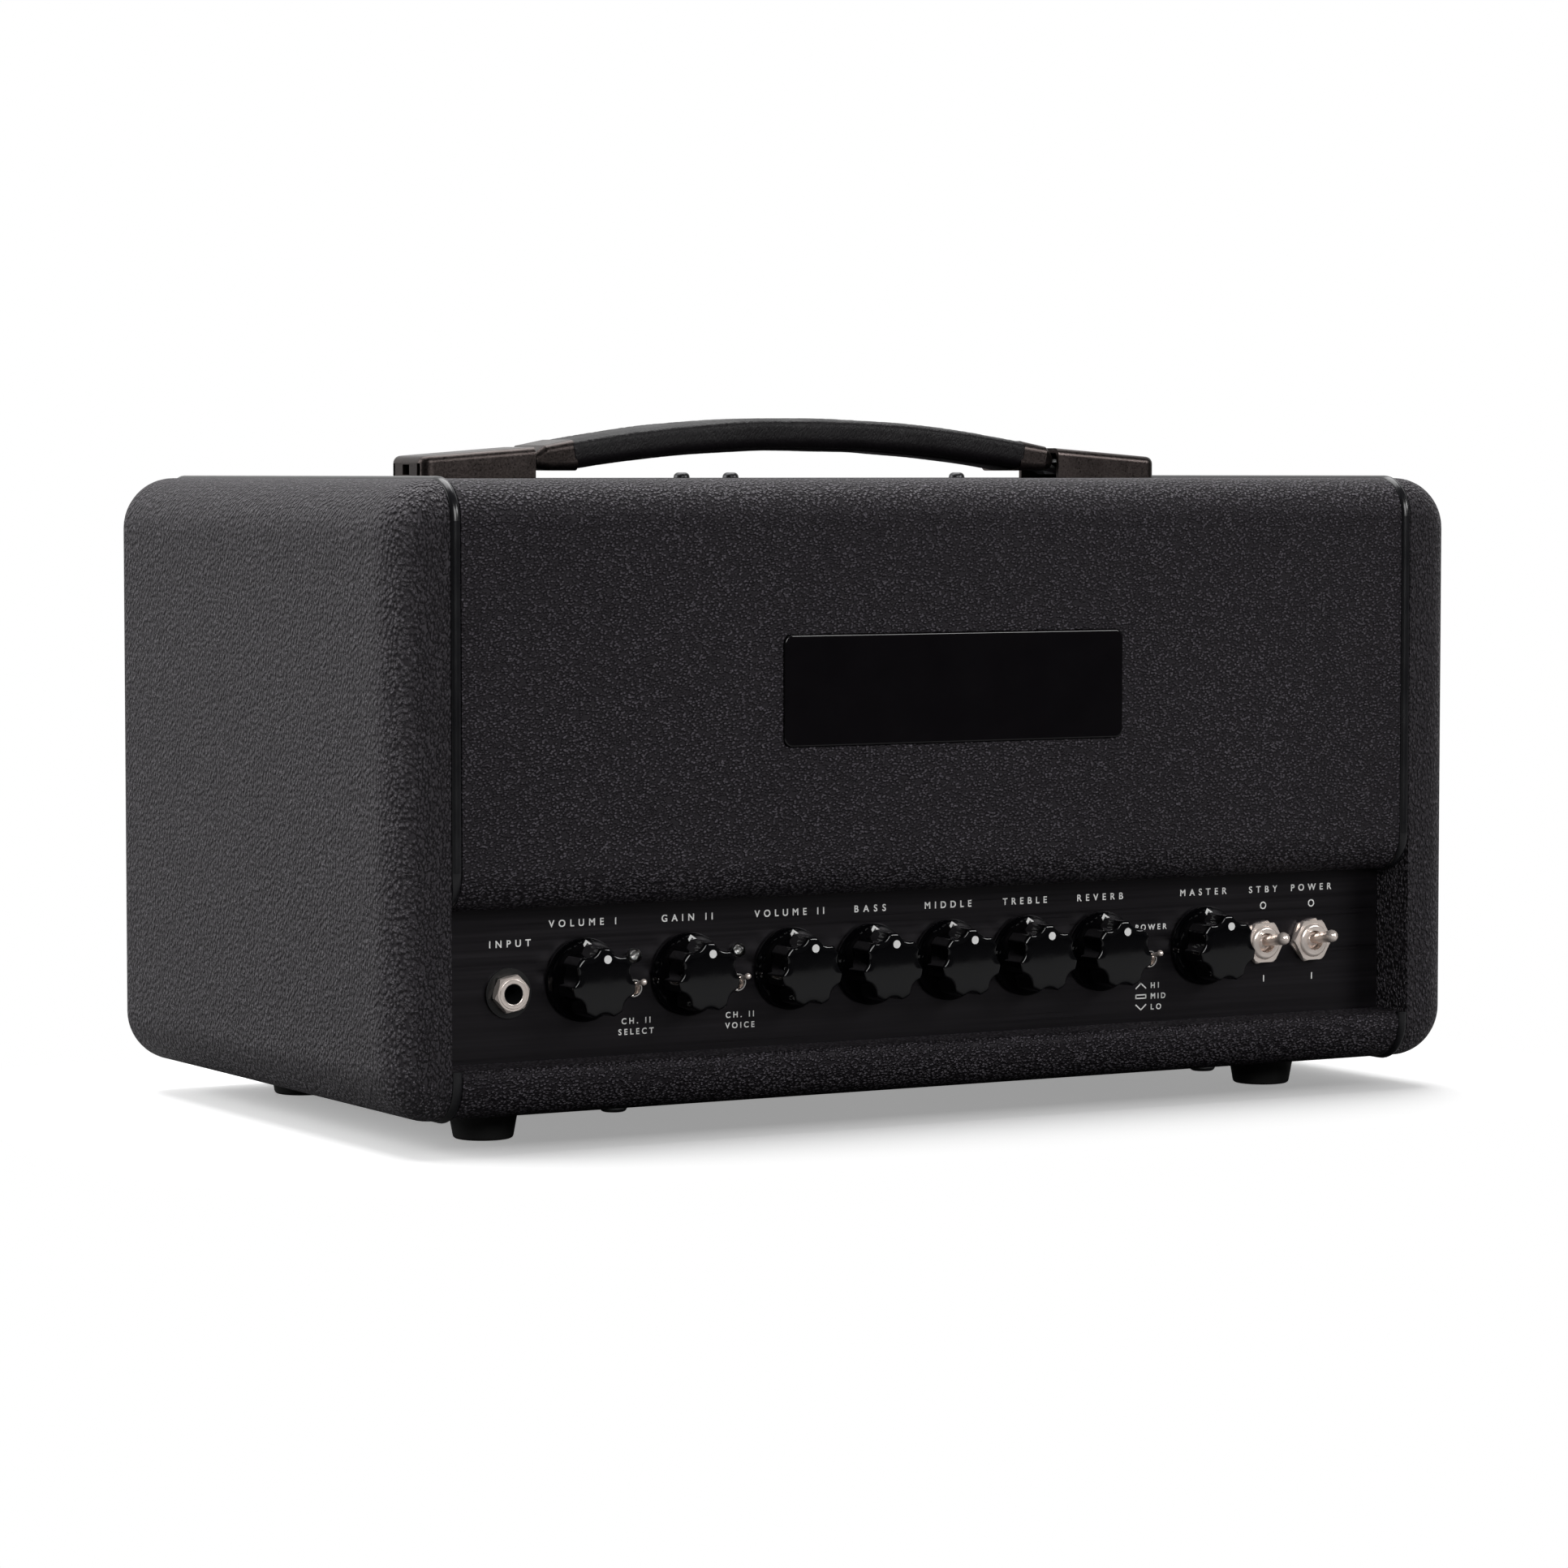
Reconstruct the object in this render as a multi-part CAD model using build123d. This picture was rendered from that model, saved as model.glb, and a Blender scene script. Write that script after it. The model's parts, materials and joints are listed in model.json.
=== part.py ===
from build123d import *

import os
from math import cos, degrees, radians, sin

# A valve guitar amplifier head: a vinyl-covered plywood cabinet with a strap handle, and a steel
# chassis that carries the controls in a recess of the front and the connectors at the rear.
# Millimetres. X is to the right seen from the front, Y to the back and Z up.
# The origin is on the floor, under the middle of the whole object.

# ---- cabinet ----
CAB_W = 423.0
CAB_D = 232.0
CAB_H = 208.5
FOOT_H = 11.0
CORNER_R = 18.0  # the four long corners, seen from the front
EDGE_R = 13.5  # every edge of the front and of the back
FRONT_T = 18.0  # the front panel, and so the depth of the control recess

# ---- places of the cabinet ----
FRONT_Y = -CAB_D / 2
BACK_Y = CAB_D / 2
FLOOR_Z = FOOT_H
TOP_Z = FLOOR_Z + CAB_H
INNER_X = 191.0  # the inner faces of the side panels
TOP_T = 15.0
BOTTOM_T = 17.0
RECESS_TOP = 79.0  # the lowest line of the front panel's rolled lower edge
SILL_R = 3.0  # the upper front edge of the bottom panel
SHELF_Z = FLOOR_Z + BOTTOM_T  # the chassis stands here

# ---- piping, which stands out by its radius less its inset ----
PIPE_R = 1.95
PIPE_INSET = 1.0
PIPE_X = 189.0
GROOVE_W = 4.0

# ---- nameplate, feet and screws of the cabinet ----
PLATE_W = 135.0
PLATE_H = 37.5
PLATE_Z = 148.7
PLATE_R = 3.0
PLATE_T = 2.8
PLATE_PROUD = 0.8
FOOT_X = 158.0
FOOT_Y = 72.0
FOOT_R = (10.0, 12.0)  # at the floor and at the cabinet
FOOT_BORE = 4.6
FOOT_SEAT = 4.0  # how much rubber the foot's screw goes through
WOOD_SCREW_R = 2.0
WOOD_SCREW_L = 15.0
TOP_SCREW_X = (-108.5, -10.3, 10.3, 108.5)
TOP_SCREW_Y = 59.0
TOP_SCREW_R = 1.9

# ---- heat shield and rear grille ----
SHIELD_X = 125.0
SHIELD_Y = (-50.0, 80.0)
BATTEN_W = 15.0
BATTEN_D = 16.0
GRILLE_SLOT = (30.0, 3.6)
GRILLE_ROWS = 3
GRILLE_COLUMNS = 30
GRILLE_PITCH = (11.5, 37.0)
GRILLE_FIRST_Z = 21.0
GRILLE_SCREW_R = 1.7

# ---- handle; heights are above the cabinet ----
CAP_MOUTH = 107.5
CAP_END = 150.8
CAP_W = 27.0
CAP_H = (10.9, 7.6)  # at the mouth and at the outer end
CAP_WALL = 1.6
CAP_CORNER_R = 4.5
CAP_RIM_R = 2.6
TAB_EDGES = (8.6, 10.6)  # the slots beside the cap's end tab, from the middle
TAB_TOP = 5.2
TAB_WINDOW = (2.6, 1.2, 4.8)  # half its width, and its lower and upper edge
GRIP_HALF = 92.0
GRIP_W = 28.0
GRIP_T = 12.0
GRIP_TOP = 21.6  # the middle of the grip, above the cabinet
GRIP_RISE = 7.6  # how far the arch rises from its ends to its middle
STRAP_W = 16.0
STRAP_T = 1.2
STRAP_LOW = 1.3  # the strap's underside in the caps, above the cabinet
STRAP_BEND_X = 105.3  # where the strap turns down into the cap
STRAP_KNEE_X = 112.5  # and where it lies level again
STRAP_TAIL = 12.0  # its length past the shoulder screw
STRAP_SLOT = (18.0, 7.0)
HANDLE_LIFT = 3.0
SHOULDER_X = 119.0
SHOULDER_R = 2.5
SHOULDER_HEAD_R = 4.8
SHOULDER_HEAD_T = 1.1
FERRULE = ((102.3, 7.1, 26.4, 8.8), (106.0, 6.0, 23.0, 5.4))  # x, height, width and thickness

# ---- chassis ----
FACE_Y = FRONT_Y + FRONT_T  # the front of the control faceplate
PLATE_STACK = 2.7  # a faceplate and the chassis wall behind it
FACEPLATE_T = 1.5
STEEL_T = 1.2
CHASSIS_X = 184.0
CHASSIS_TOP = 86.0
FLANGE = (12.0, 14.0)  # the tray's inturned edges, at the front and at the rear
REAR_FACE_Y = BACK_Y - 12.5
REAR_STEEL_Y = REAR_FACE_Y - FACEPLATE_T
CHASSIS_FRONT_Y = FACE_Y + FACEPLATE_T
BOLT_R = 2.0
CHASSIS_BOLTS = [(x, y) for x in (-119.0, 119.0) for y in (FACE_Y + 6.8, REAR_FACE_Y - 9.5)]

# ---- controls: places on the faceplates ----
KNOBS = {
    "volume_1": -134.0,
    "gain_2": -94.5,
    "volume_2": -55.0,
    "bass": -23.2,
    "middle": 8.1,
    "treble": 39.4,
    "reverb": 70.7,
    "master": 114.5,
}
KNOB_Z = 54.0
MINI_SWITCHES = {"channel_select": -115.2, "voice": -75.5, "output_power": 91.0}
MINI_Z = 50.3
MAINS_SWITCHES = {"standby": 139.2, "power": 160.2}
LED_X = (-115.2, -75.6)
LED_Z = 61.2
INPUT_X = -161.9
INPUT_Z = 50.9
REAR_JACK_X = (-155.0, -125.0, -95.0, -55.0, -25.0, 15.0, 45.0)
REAR_Z = 57.0
INLET_X = 130.0

# ---- control sizes ----
SHAFT_R = 3.0
POT_BORE_R = 3.05
SKIRT_R = 14.0
KNOB_H = 16.4
LOBES = 7
LOBE_R = 12.1
FLUTE_R = 5.6
FLUTE_AT = 16.0
KNOB_FACE_SCALE = 0.97
KNOB_HUB_Z = 4.4  # how deep the knob is hollow
KNOB_BORE_Z = 13.2
SHAFT_END = 13.0
POT_NECK_R = 3.5
MINI_R = 3.175
MINI_OUT = 1.2
MINI_BORE = 2.3
MINI_TILT = 14.0
MINI_PIVOT = -2.5
MINI_ARM = 10.5  # from the pivot to the middle of the tip
MINI_TIP_R = 1.1
MAINS_R = 6.0
MAINS_OUT = 4.2
MAINS_BORE = 3.5
MAINS_TILT = 9.5
MAINS_PIVOT = 0.4
MAINS_ARM = 14.0
MAINS_TIP_R = 2.25
MAINS_NUT_AF = 14.0
LED_R = 2.4
LED_OUT = 1.5
JACK_BORE = 3.25
JACK_SLEEVE_R = 4.7
JACK_OUT = 4.6
JACK_DEPTH = 30.0
JACK_HALF = 10.0

# ---- inside, on the chassis ----
POWER_VALVES = ((-70.0, 20.0), (-20.0, 20.0))
PREAMP_VALVE = (-120.0, 20.0)
SOCKET_H = 8.0
BASE_H = 18.0
OCTAL_HOLE_R = 13.0
NOVAL_HOLE_R = 9.0
INLET_DEPTH = 14.0
PIN_PLACES = ((-7.0, 1.0), (0.0, -3.0), (7.0, 1.0))
CORE_X = (30.0, 96.0)
CORE_Y = (-10.0, 34.0)
CORE_H = (4.0, 60.0)
CORE_WINDOWS = ((41.0, 52.0), (74.0, 85.0))
COIL_Y = (-24.0, 48.0)
CASE_X = (112.0, 172.0)
CASE_Y = (-60.0, 70.0)
CASE_H = 56.0
BOARD_X = (-150.0, 110.0)
BOARD_Y = (-60.0, 60.0)
BOARD_LIFT = 7.0
BOARD_T = 1.6
INLET_OUT = (29.0, 21.5)  # the inlet's body, across and up
INLET_IN = (24.2, 16.8)  # and the space inside it


# ---------------------------------------------------------------- shapes


def block(x0, x1, y0, y1, z0, z1):
    """A box between two corners."""
    middle = ((x0 + x1) / 2, (y0 + y1) / 2, (z0 + z1) / 2)
    return Pos(*middle) * Box(x1 - x0, y1 - y0, z1 - z0)


def disc(radius, z0, z1):
    """A round plate or bar on the Z axis."""
    return Pos(0, 0, (z0 + z1) / 2) * Cylinder(radius, z1 - z0)


def cone(r0, r1, z0, z1):
    """A tapered bar on the Z axis."""
    return Pos(0, 0, (z0 + z1) / 2) * Cone(r0, r1, z1 - z0)


def ring(outer, inner, z0, z1):
    """A washer or tube on the Z axis."""
    return disc(outer, z0, z1) - disc(inner, z0 - 1, z1 + 1)


def nut(across_flats, hole_r, z0, z1, turn=0):
    """A hexagon nut with both faces chamfered at the corners."""
    flat = RegularPolygon(across_flats / 2, 6, major_radius=False)
    body = Pos(0, 0, z0) * Rot(0, 0, turn) * extrude(flat, z1 - z0)
    corner_r = across_flats / 2 / cos(radians(30))
    blank = disc(corner_r, z0, z1)
    blank = chamfer(blank.edges(), 0.28 * (z1 - z0))
    return (body & blank) - disc(hole_r, z0 - 1, z1 + 1)


def turned(*outline):
    """A solid of revolution about Z from points of (radius, height)."""
    return revolve(make_face(Plane.XZ * Polyline(*outline, close=True)), Axis.Z)


def screw(head_r, head_h, shank_r, length, dome=0.6):
    """A screw that points down: the underside of its head is at height 0."""
    head = disc(head_r, 0, head_h)
    head = fillet(head.edges().group_by(Axis.Z)[-1], dome * head_h)
    return head + disc(shank_r, -length, 0)


def at_front(x, z):
    """A place on the control faceplate: local X is right, Y is up and Z comes out."""
    return Pos(x, FACE_Y, z) * Rot(90, 0, 0)


def at_rear(x, z):
    """A place on the rear faceplate, with local Z coming out."""
    return Pos(x, REAR_FACE_Y, z) * Rot(-90, 0, 0)


def write(node, *pieces):
    """One STEP file for a node, with each piece as its own solid."""
    solids = []
    for piece in pieces:
        solids.extend(piece.solids())
    shape = solids[0] if len(solids) == 1 else Compound(children=solids)
    shape.label = node
    export_step(shape, f"parts/{node}.step")


# ---------------------------------------------------------------- cabinet


def envelope():
    """The cabinet's outside as one block with all its rounded edges."""
    outline = RectangleRounded(CAB_W, CAB_H, CORNER_R)
    body = Rot(90, 0, 0) * extrude(outline, CAB_D / 2, both=True)
    body = Pos(0, 0, (FLOOR_Z + TOP_Z) / 2) * body
    ends = body.faces().sort_by(Axis.Y)
    return fillet(ends[0].edges() + ends[-1].edges(), EDGE_R)


def edge_waste(y, z, radius, to_y, to_z):
    """What a roundover along X takes off at the edge (y, z) of a panel."""
    middle_y = y + to_y * radius
    middle_z = z + to_z * radius
    y0, y1 = sorted((y, middle_y))
    z0, z1 = sorted((z, middle_z))
    square = block(-INNER_X, INNER_X, y0, y1, z0, z1)
    bar = Pos(0, middle_y, middle_z) * Rot(0, 90, 0) * Cylinder(radius, 2 * INNER_X + 2)
    return square - bar


def piping_paths():
    """The piping's centre lines in the YZ plane: over the top and down the front, and below."""
    front_y = FRONT_Y + PIPE_INSET
    back_y = BACK_Y - PIPE_INSET
    upper = [
        (back_y, TOP_Z - TOP_T),
        (back_y, TOP_Z - PIPE_INSET),
        (front_y, TOP_Z - PIPE_INSET),
        (front_y, RECESS_TOP + PIPE_INSET),
        (FACE_Y, RECESS_TOP + PIPE_INSET),
    ]
    lower = [
        (front_y, SHELF_Z),
        (front_y, FLOOR_Z + PIPE_INSET),
        (back_y, FLOOR_Z + PIPE_INSET),
        (back_y, SHELF_Z),
    ]
    return [FilletPolyline(*points, radius=EDGE_R - PIPE_INSET) for points in (upper, lower)]


def along_piping(section, side):
    """A section swept along both runs of the piping on one side."""
    runs = []
    for flat_path in piping_paths():
        path = Plane.YZ.offset(side * PIPE_X) * flat_path
        start = Plane(origin=path @ 0, x_dir=(1, 0, 0), z_dir=path % 0)
        runs.append(sweep(start * section, path))
    return runs


def front_panel(outside):
    """The upper front, rolled at its lower edge and recessed for the nameplate."""
    panel = outside & block(-INNER_X, INNER_X, FRONT_Y, FACE_Y, RECESS_TOP, TOP_Z)
    panel -= edge_waste(FRONT_Y, RECESS_TOP, EDGE_R, 1, 1)
    seat = extrude(RectangleRounded(PLATE_W + 0.4, PLATE_H + 0.4, PLATE_R), PLATE_T)
    seat_y = FRONT_Y + PLATE_T - PLATE_PROUD
    return panel - Pos(0, seat_y, PLATE_Z) * Rot(90, 0, 0) * seat


def nameplate():
    """A blank moulded plate, let into the front panel."""
    plate = extrude(RectangleRounded(PLATE_W, PLATE_H, PLATE_R), PLATE_T)
    plate = fillet(plate.edges().group_by(Axis.Z)[-1], 0.6)
    plate_y = FRONT_Y + PLATE_T - PLATE_PROUD
    return Pos(0, plate_y, PLATE_Z) * Rot(90, 0, 0) * plate


def foot_places():
    """The four corners that the feet are screwed to."""
    return [Pos(x, y, FLOOR_Z) for x in (-FOOT_X, FOOT_X) for y in (-FOOT_Y, FOOT_Y)]


def rubber_foot():
    """A tapered foot with a deep hole for its screw."""
    foot = cone(FOOT_R[0], FOOT_R[1], -FOOT_H, 0)
    foot = fillet(foot.edges().group_by(Axis.Z)[0], 1.2)
    return foot - disc(FOOT_BORE, -FOOT_H - 1, -FOOT_SEAT) - disc(WOOD_SCREW_R, -FOOT_SEAT - 1, 1)


def foot_screw():
    """A wood screw that holds a foot from below."""
    fastener = screw(FOOT_BORE - 0.4, 2.6, WOOD_SCREW_R, WOOD_SCREW_L)
    return Pos(0, 0, -FOOT_SEAT) * Rot(180, 0, 0) * fastener


def cabinet():
    """The plywood panels, their piping, the nameplate and the feet."""
    outside = envelope()
    grooves = [groove for side in (-1, 1) for groove in along_piping(Rectangle(GROOVE_W, GROOVE_W), side)]
    sides = {"left": -1, "right": 1}
    for name, side in sides.items():
        x0, x1 = sorted((side * INNER_X, side * CAB_W / 2))
        write(f"side_panel_{name}", outside & block(x0, x1, FRONT_Y, BACK_Y, FLOOR_Z, TOP_Z))
        write(f"piping_{name}", *along_piping(Circle(PIPE_R), side))

    front = front_panel(outside)
    top = outside & block(-INNER_X, INNER_X, FACE_Y, BACK_Y, TOP_Z - TOP_T, TOP_Z)
    bottom = outside & block(-INNER_X, INNER_X, FRONT_Y, BACK_Y, FLOOR_Z, SHELF_Z)
    bottom -= edge_waste(FRONT_Y, SHELF_Z, SILL_R, 1, -1)
    for groove in grooves:
        front -= groove
        top -= groove
        bottom -= groove
    for place in foot_places():
        bottom -= place * disc(WOOD_SCREW_R, -1, WOOD_SCREW_L - FOOT_SEAT + 0.1)
    for x, y in CHASSIS_BOLTS:
        bottom -= Pos(x, y, FLOOR_Z) * disc(BOLT_R, -1, BOTTOM_T + 1)
    for side in (-1, 1):
        top -= Pos(side * SHOULDER_X, 0, TOP_Z) * disc(SHOULDER_R, -TOP_T - 1, 1)
    for x in TOP_SCREW_X:
        top -= Pos(x, TOP_SCREW_Y, TOP_Z) * disc(TOP_SCREW_R, -TOP_T - 1, 1)
    write("front_panel", front)
    write("top_panel", top)
    write("bottom_panel", bottom)
    write("nameplate", nameplate())
    write("rubber_feet", *[place * rubber_foot() for place in foot_places()])
    write("foot_screws", *[place * foot_screw() for place in foot_places()])


def heat_shield():
    """An aluminium sheet under the top panel, over the valves, and its four screws."""
    z1 = TOP_Z - TOP_T
    sheet = block(-SHIELD_X, SHIELD_X, *SHIELD_Y, z1 - STEEL_T, z1)
    for x in TOP_SCREW_X:
        sheet -= Pos(x, TOP_SCREW_Y, z1) * disc(TOP_SCREW_R, -3, 3)
    head = screw(3.0, 2.0, TOP_SCREW_R, TOP_T + STEEL_T + 3.0, dome=0.9)
    write("heat_shield", sheet)
    write("top_screws", *[Pos(x, TOP_SCREW_Y, TOP_Z) * head for x in TOP_SCREW_X])


def rear_closing():
    """The slotted steel grille over the back, the battens behind it and its screws."""
    z0 = CHASSIS_TOP + 1.5
    z1 = TOP_Z - TOP_T - 0.5
    y0 = REAR_STEEL_Y - BATTEN_D
    inner = INNER_X - BATTEN_W
    battens = [
        block(-INNER_X, -inner, y0, REAR_STEEL_Y, z0, z1),
        block(inner, INNER_X, y0, REAR_STEEL_Y, z0, z1),
    ]
    grille = block(1 - INNER_X, INNER_X - 1, REAR_STEEL_Y, REAR_STEEL_Y + STEEL_T, z0, z1)
    slot = extrude(SlotOverall(*GRILLE_SLOT, rotation=90), 6, both=True)
    for row in range(GRILLE_ROWS):
        for column in range(GRILLE_COLUMNS):
            x = (column - (GRILLE_COLUMNS - 1) / 2) * GRILLE_PITCH[0]
            z = z0 + GRILLE_FIRST_Z + GRILLE_PITCH[1] * row
            grille -= Pos(x, REAR_STEEL_Y, z) * Rot(90, 0, 0) * slot
    screw_x = (inner + INNER_X) / 2
    places = [
        Pos(x, REAR_STEEL_Y + STEEL_T, z) * Rot(-90, 0, 0)
        for x in (-screw_x, screw_x)
        for z in (z0 + 10, (z0 + z1) / 2, z1 - 10)
    ]
    for place in places:
        hole = place * disc(GRILLE_SCREW_R, -BATTEN_D + 2, 1)
        grille -= hole
        battens = [batten - hole for batten in battens]
    fastener = screw(3.6, 2.0, GRILLE_SCREW_R, BATTEN_D - 3)
    write("rear_battens", *battens)
    write("rear_grille", grille)
    write("rear_grille_screws", *[place * fastener for place in places])


# ---------------------------------------------------------------- handle


def mirror_x(piece):
    """The same piece on the other end of the handle."""
    return mirror(piece, Plane.YZ)


def cap_solid(inset):
    """The right cap's outside, or its inside when inset by the wall."""
    x0 = CAP_MOUTH - (1 if inset else 0)
    x1 = CAP_END - inset
    low = TOP_Z - (1 if inset else 0)
    mouth_z = TOP_Z + CAP_H[0] - inset
    end_z = TOP_Z + CAP_H[1] - inset
    side = Polyline((x0, low), (x1, low), (x1, end_z), (x0, mouth_z), close=True)
    width = CAP_W - 2 * inset
    body = extrude(Plane.XZ * make_face(side), width / 2, both=True)
    upright = body.edges().filter_by(Axis.Z).group_by(Axis.X)[-1]
    body = fillet(upright, CAP_CORNER_R - inset)
    roof = body.faces().filter_by(lambda face: face.normal_at().Z > 0.9)[0]
    rim = roof.edges().filter_by(lambda edge: edge.center().X > x0 + 1)
    return fillet(rim, CAP_RIM_R - inset)


def handle_cap():
    """The right cap: a hollow metal cover, open at its mouth and below, with a slotted end tab."""
    shell = cap_solid(0) - cap_solid(CAP_WALL)
    x0 = CAP_END - CAP_CORNER_R
    x1 = CAP_END + 1
    half, low, high = TAB_WINDOW
    shell -= block(x0, x1, -half, half, TOP_Z + low, TOP_Z + high)
    for side in (-1, 1):
        y0, y1 = sorted(side * edge for edge in TAB_EDGES)
        shell -= block(x0, x1, y0, y1, TOP_Z - 1, TOP_Z + TAB_TOP)
    return shell


def arch_radius():
    """The radius of the arch that the grip follows."""
    return (GRIP_HALF**2 + GRIP_RISE**2) / (2 * GRIP_RISE)


def arch_point(x, lift):
    """A point over or under the arch at a distance x along it."""
    radius = arch_radius()
    centre_z = TOP_Z + GRIP_TOP - GRIP_T / 2 - radius
    angle = x / radius
    return ((radius + lift) * sin(angle), centre_z + (radius + lift) * cos(angle))


def arch_line(lift, reach):
    """The arch, shifted up by lift, from -reach to +reach in the XZ plane."""
    return ThreePointArc(arch_point(-reach, lift), arch_point(0, lift), arch_point(reach, lift))


def strap_side(lift):
    """The strap's middle line from the grip's right end into the cap, shifted up by lift."""
    end_x, end_z = arch_point(GRIP_HALF, 0)
    bend_z = end_z - (STRAP_BEND_X - end_x) * GRIP_HALF / arch_radius()
    level = TOP_Z + STRAP_LOW + STRAP_T / 2
    line = [(STRAP_BEND_X, bend_z), (STRAP_KNEE_X, level), (SHOULDER_X + STRAP_TAIL, level)]
    return [(x, z + lift) for x, z in line]


def handle_strap():
    """A spring-steel strap through the grip, slotted round the shoulder screws in the caps."""
    half = STRAP_T / 2
    upper = [arch_point(GRIP_HALF, half)] + strap_side(half)
    lower = [arch_point(GRIP_HALF, -half)] + strap_side(-half)
    right = upper + lower[::-1]
    left = [(-x, z) for x, z in right]
    lines = [arch_line(half, GRIP_HALF), arch_line(-half, GRIP_HALF), Polyline(*right), Polyline(*left)]
    face = Plane.XZ * make_face([edge for line in lines for edge in line.edges()])
    strap = extrude(face, STRAP_W / 2, both=True)
    slot = extrude(SlotOverall(*STRAP_SLOT), 6, both=True)
    for side in (-1, 1):
        strap -= Pos(side * SHOULDER_X, 0, TOP_Z + STRAP_LOW) * slot
    return strap


def handle_grip(strap):
    """The padded leather grip, moulded round the strap."""
    path = Plane.XZ * arch_line(0, GRIP_HALF)
    start = Plane(origin=path @ 0, x_dir=(0, 1, 0), z_dir=path % 0)
    section = RectangleRounded(GRIP_W, GRIP_T, GRIP_T / 2 - 0.6)
    return sweep(start * section, path) - strap


def handle_ferrule(strap):
    """The right metal ferrule: a flat sleeve on the end of the grip, rounded off towards the cap."""
    end_angle = degrees(GRIP_HALF / arch_radius())
    inner_x, inner_z = arch_point(GRIP_HALF, 0)
    inner = Pos(inner_x, 0, inner_z) * Rot(0, 90 + end_angle, 0) * Rot(0, 0, 90)
    sections = [inner * RectangleRounded(GRIP_W - 0.8, GRIP_T - 1.0, 3.2)]
    for x, height, width, thickness in FERRULE:
        place = Pos(x, 0, TOP_Z + height) * Rot(0, 90 + end_angle, 0) * Rot(0, 0, 90)
        sections.append(place * RectangleRounded(width, thickness, 2.5))
    return loft(sections, ruled=True) - strap


def shoulder_screw():
    """A shoulder screw whose low head stops the strap when the handle is lifted."""
    head_z = STRAP_LOW + STRAP_T + HANDLE_LIFT + 0.2
    return disc(SHOULDER_HEAD_R, head_z, head_z + SHOULDER_HEAD_T) + disc(SHOULDER_R, -TOP_T, head_z)


def handle():
    """The strap handle on the top panel."""
    strap = handle_strap()
    ferrule = handle_ferrule(strap)
    write("handle_cap_right", handle_cap())
    write("handle_cap_left", mirror_x(handle_cap()))
    write("handle_strap", strap)
    write("handle_grip", handle_grip(strap))
    write("handle_ferrules", ferrule, mirror_x(ferrule))
    screws = [Pos(side * SHOULDER_X, 0, TOP_Z) * shoulder_screw() for side in (-1, 1)]
    write("handle_screws", *screws)


# ---------------------------------------------------------------- controls


def fluted_outline(scale_by):
    """The seven-lobed outline of a knob's grip, with a lobe at the top."""
    outline = Circle(LOBE_R * scale_by)
    for lobe in range(LOBES):
        turn = 360 / LOBES * (lobe + 0.5) + 90
        outline -= Rot(0, 0, turn) * Pos(FLUTE_AT * scale_by, 0) * Circle(FLUTE_R * scale_by)
    return fillet(outline.vertices(), 0.9 * scale_by)


def knob_blank():
    """A skirted knob with seven flutes, hollow below and bored for its shaft."""
    skirt = turned((0, 0.5), (SKIRT_R, 0.5), (SKIRT_R, 1.7), (13.2, 2.6), (12.2, 4.2), (10.0, 5.6), (0, 5.6))
    foot = Pos(0, 0, 2.0) * fluted_outline(1.0)
    face = Pos(0, 0, KNOB_H) * fluted_outline(KNOB_FACE_SCALE)
    grip = loft([foot, face])
    grip = fillet(grip.edges().group_by(Axis.Z)[-1], 0.5)
    return skirt + grip - disc(8.0, 0, KNOB_HUB_Z) - disc(SHAFT_R, 4, KNOB_BORE_Z)


def controls_with_shafts():
    """The potentiometers and, for each, a knob with the nylon shaft that it turns."""
    knob = knob_blank()
    shaft = disc(SHAFT_R, -9.5, SHAFT_END)
    housing = disc(8.25, -12, -PLATE_STACK) + disc(POT_NECK_R, -PLATE_STACK - 1, 3.6)
    housing -= disc(POT_BORE_R, -10, 5)
    hexagon = nut(10, POT_NECK_R, 0, 2.0)
    places = [at_front(x, KNOB_Z) for x in KNOBS.values()]
    for name, place in zip(KNOBS, places):
        write(f"knob_{name}", place * knob, place * shaft)
    write("pot_bodies", *[place * housing for place in places])
    write("pot_nuts", *[place * hexagon for place in places])


def bat(pivot, arm, ball_r, stem, tip_r, tilt):
    """A toggle's lever, tilted up: a pivot ball in the bushing, a stem and a round tip."""
    lever = Sphere(ball_r) + cone(*stem, 0, arm) + Pos(0, 0, arm) * Sphere(tip_r)
    return Pos(0, 0, pivot) * Rot(-tilt, 0, 0) * lever


def mini_switches():
    """Three miniature toggle switches. Each lever is modelled up, against its stop."""
    housing = block(-6.4, 6.4, -6.4, 6.4, -13, -PLATE_STACK)
    housing -= disc(MINI_R, -PLATE_STACK - 3, 0)
    bushing = ring(MINI_R, MINI_BORE, -PLATE_STACK - 3, MINI_OUT)
    bushing = chamfer(bushing.edges().group_by(Axis.Z)[-1], 0.25)
    lever = bat(MINI_PIVOT, MINI_ARM, MINI_BORE - 0.06, (0.75, 0.85), MINI_TIP_R, MINI_TILT)
    places = [at_front(x, MINI_Z) for x in MINI_SWITCHES.values()]
    for name, place in zip(MINI_SWITCHES, places):
        write(f"lever_{name}", place * lever)
    write("mini_switch_bodies", *[place * housing for place in places])
    write("mini_switch_bushings", *[place * bushing for place in places])


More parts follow.
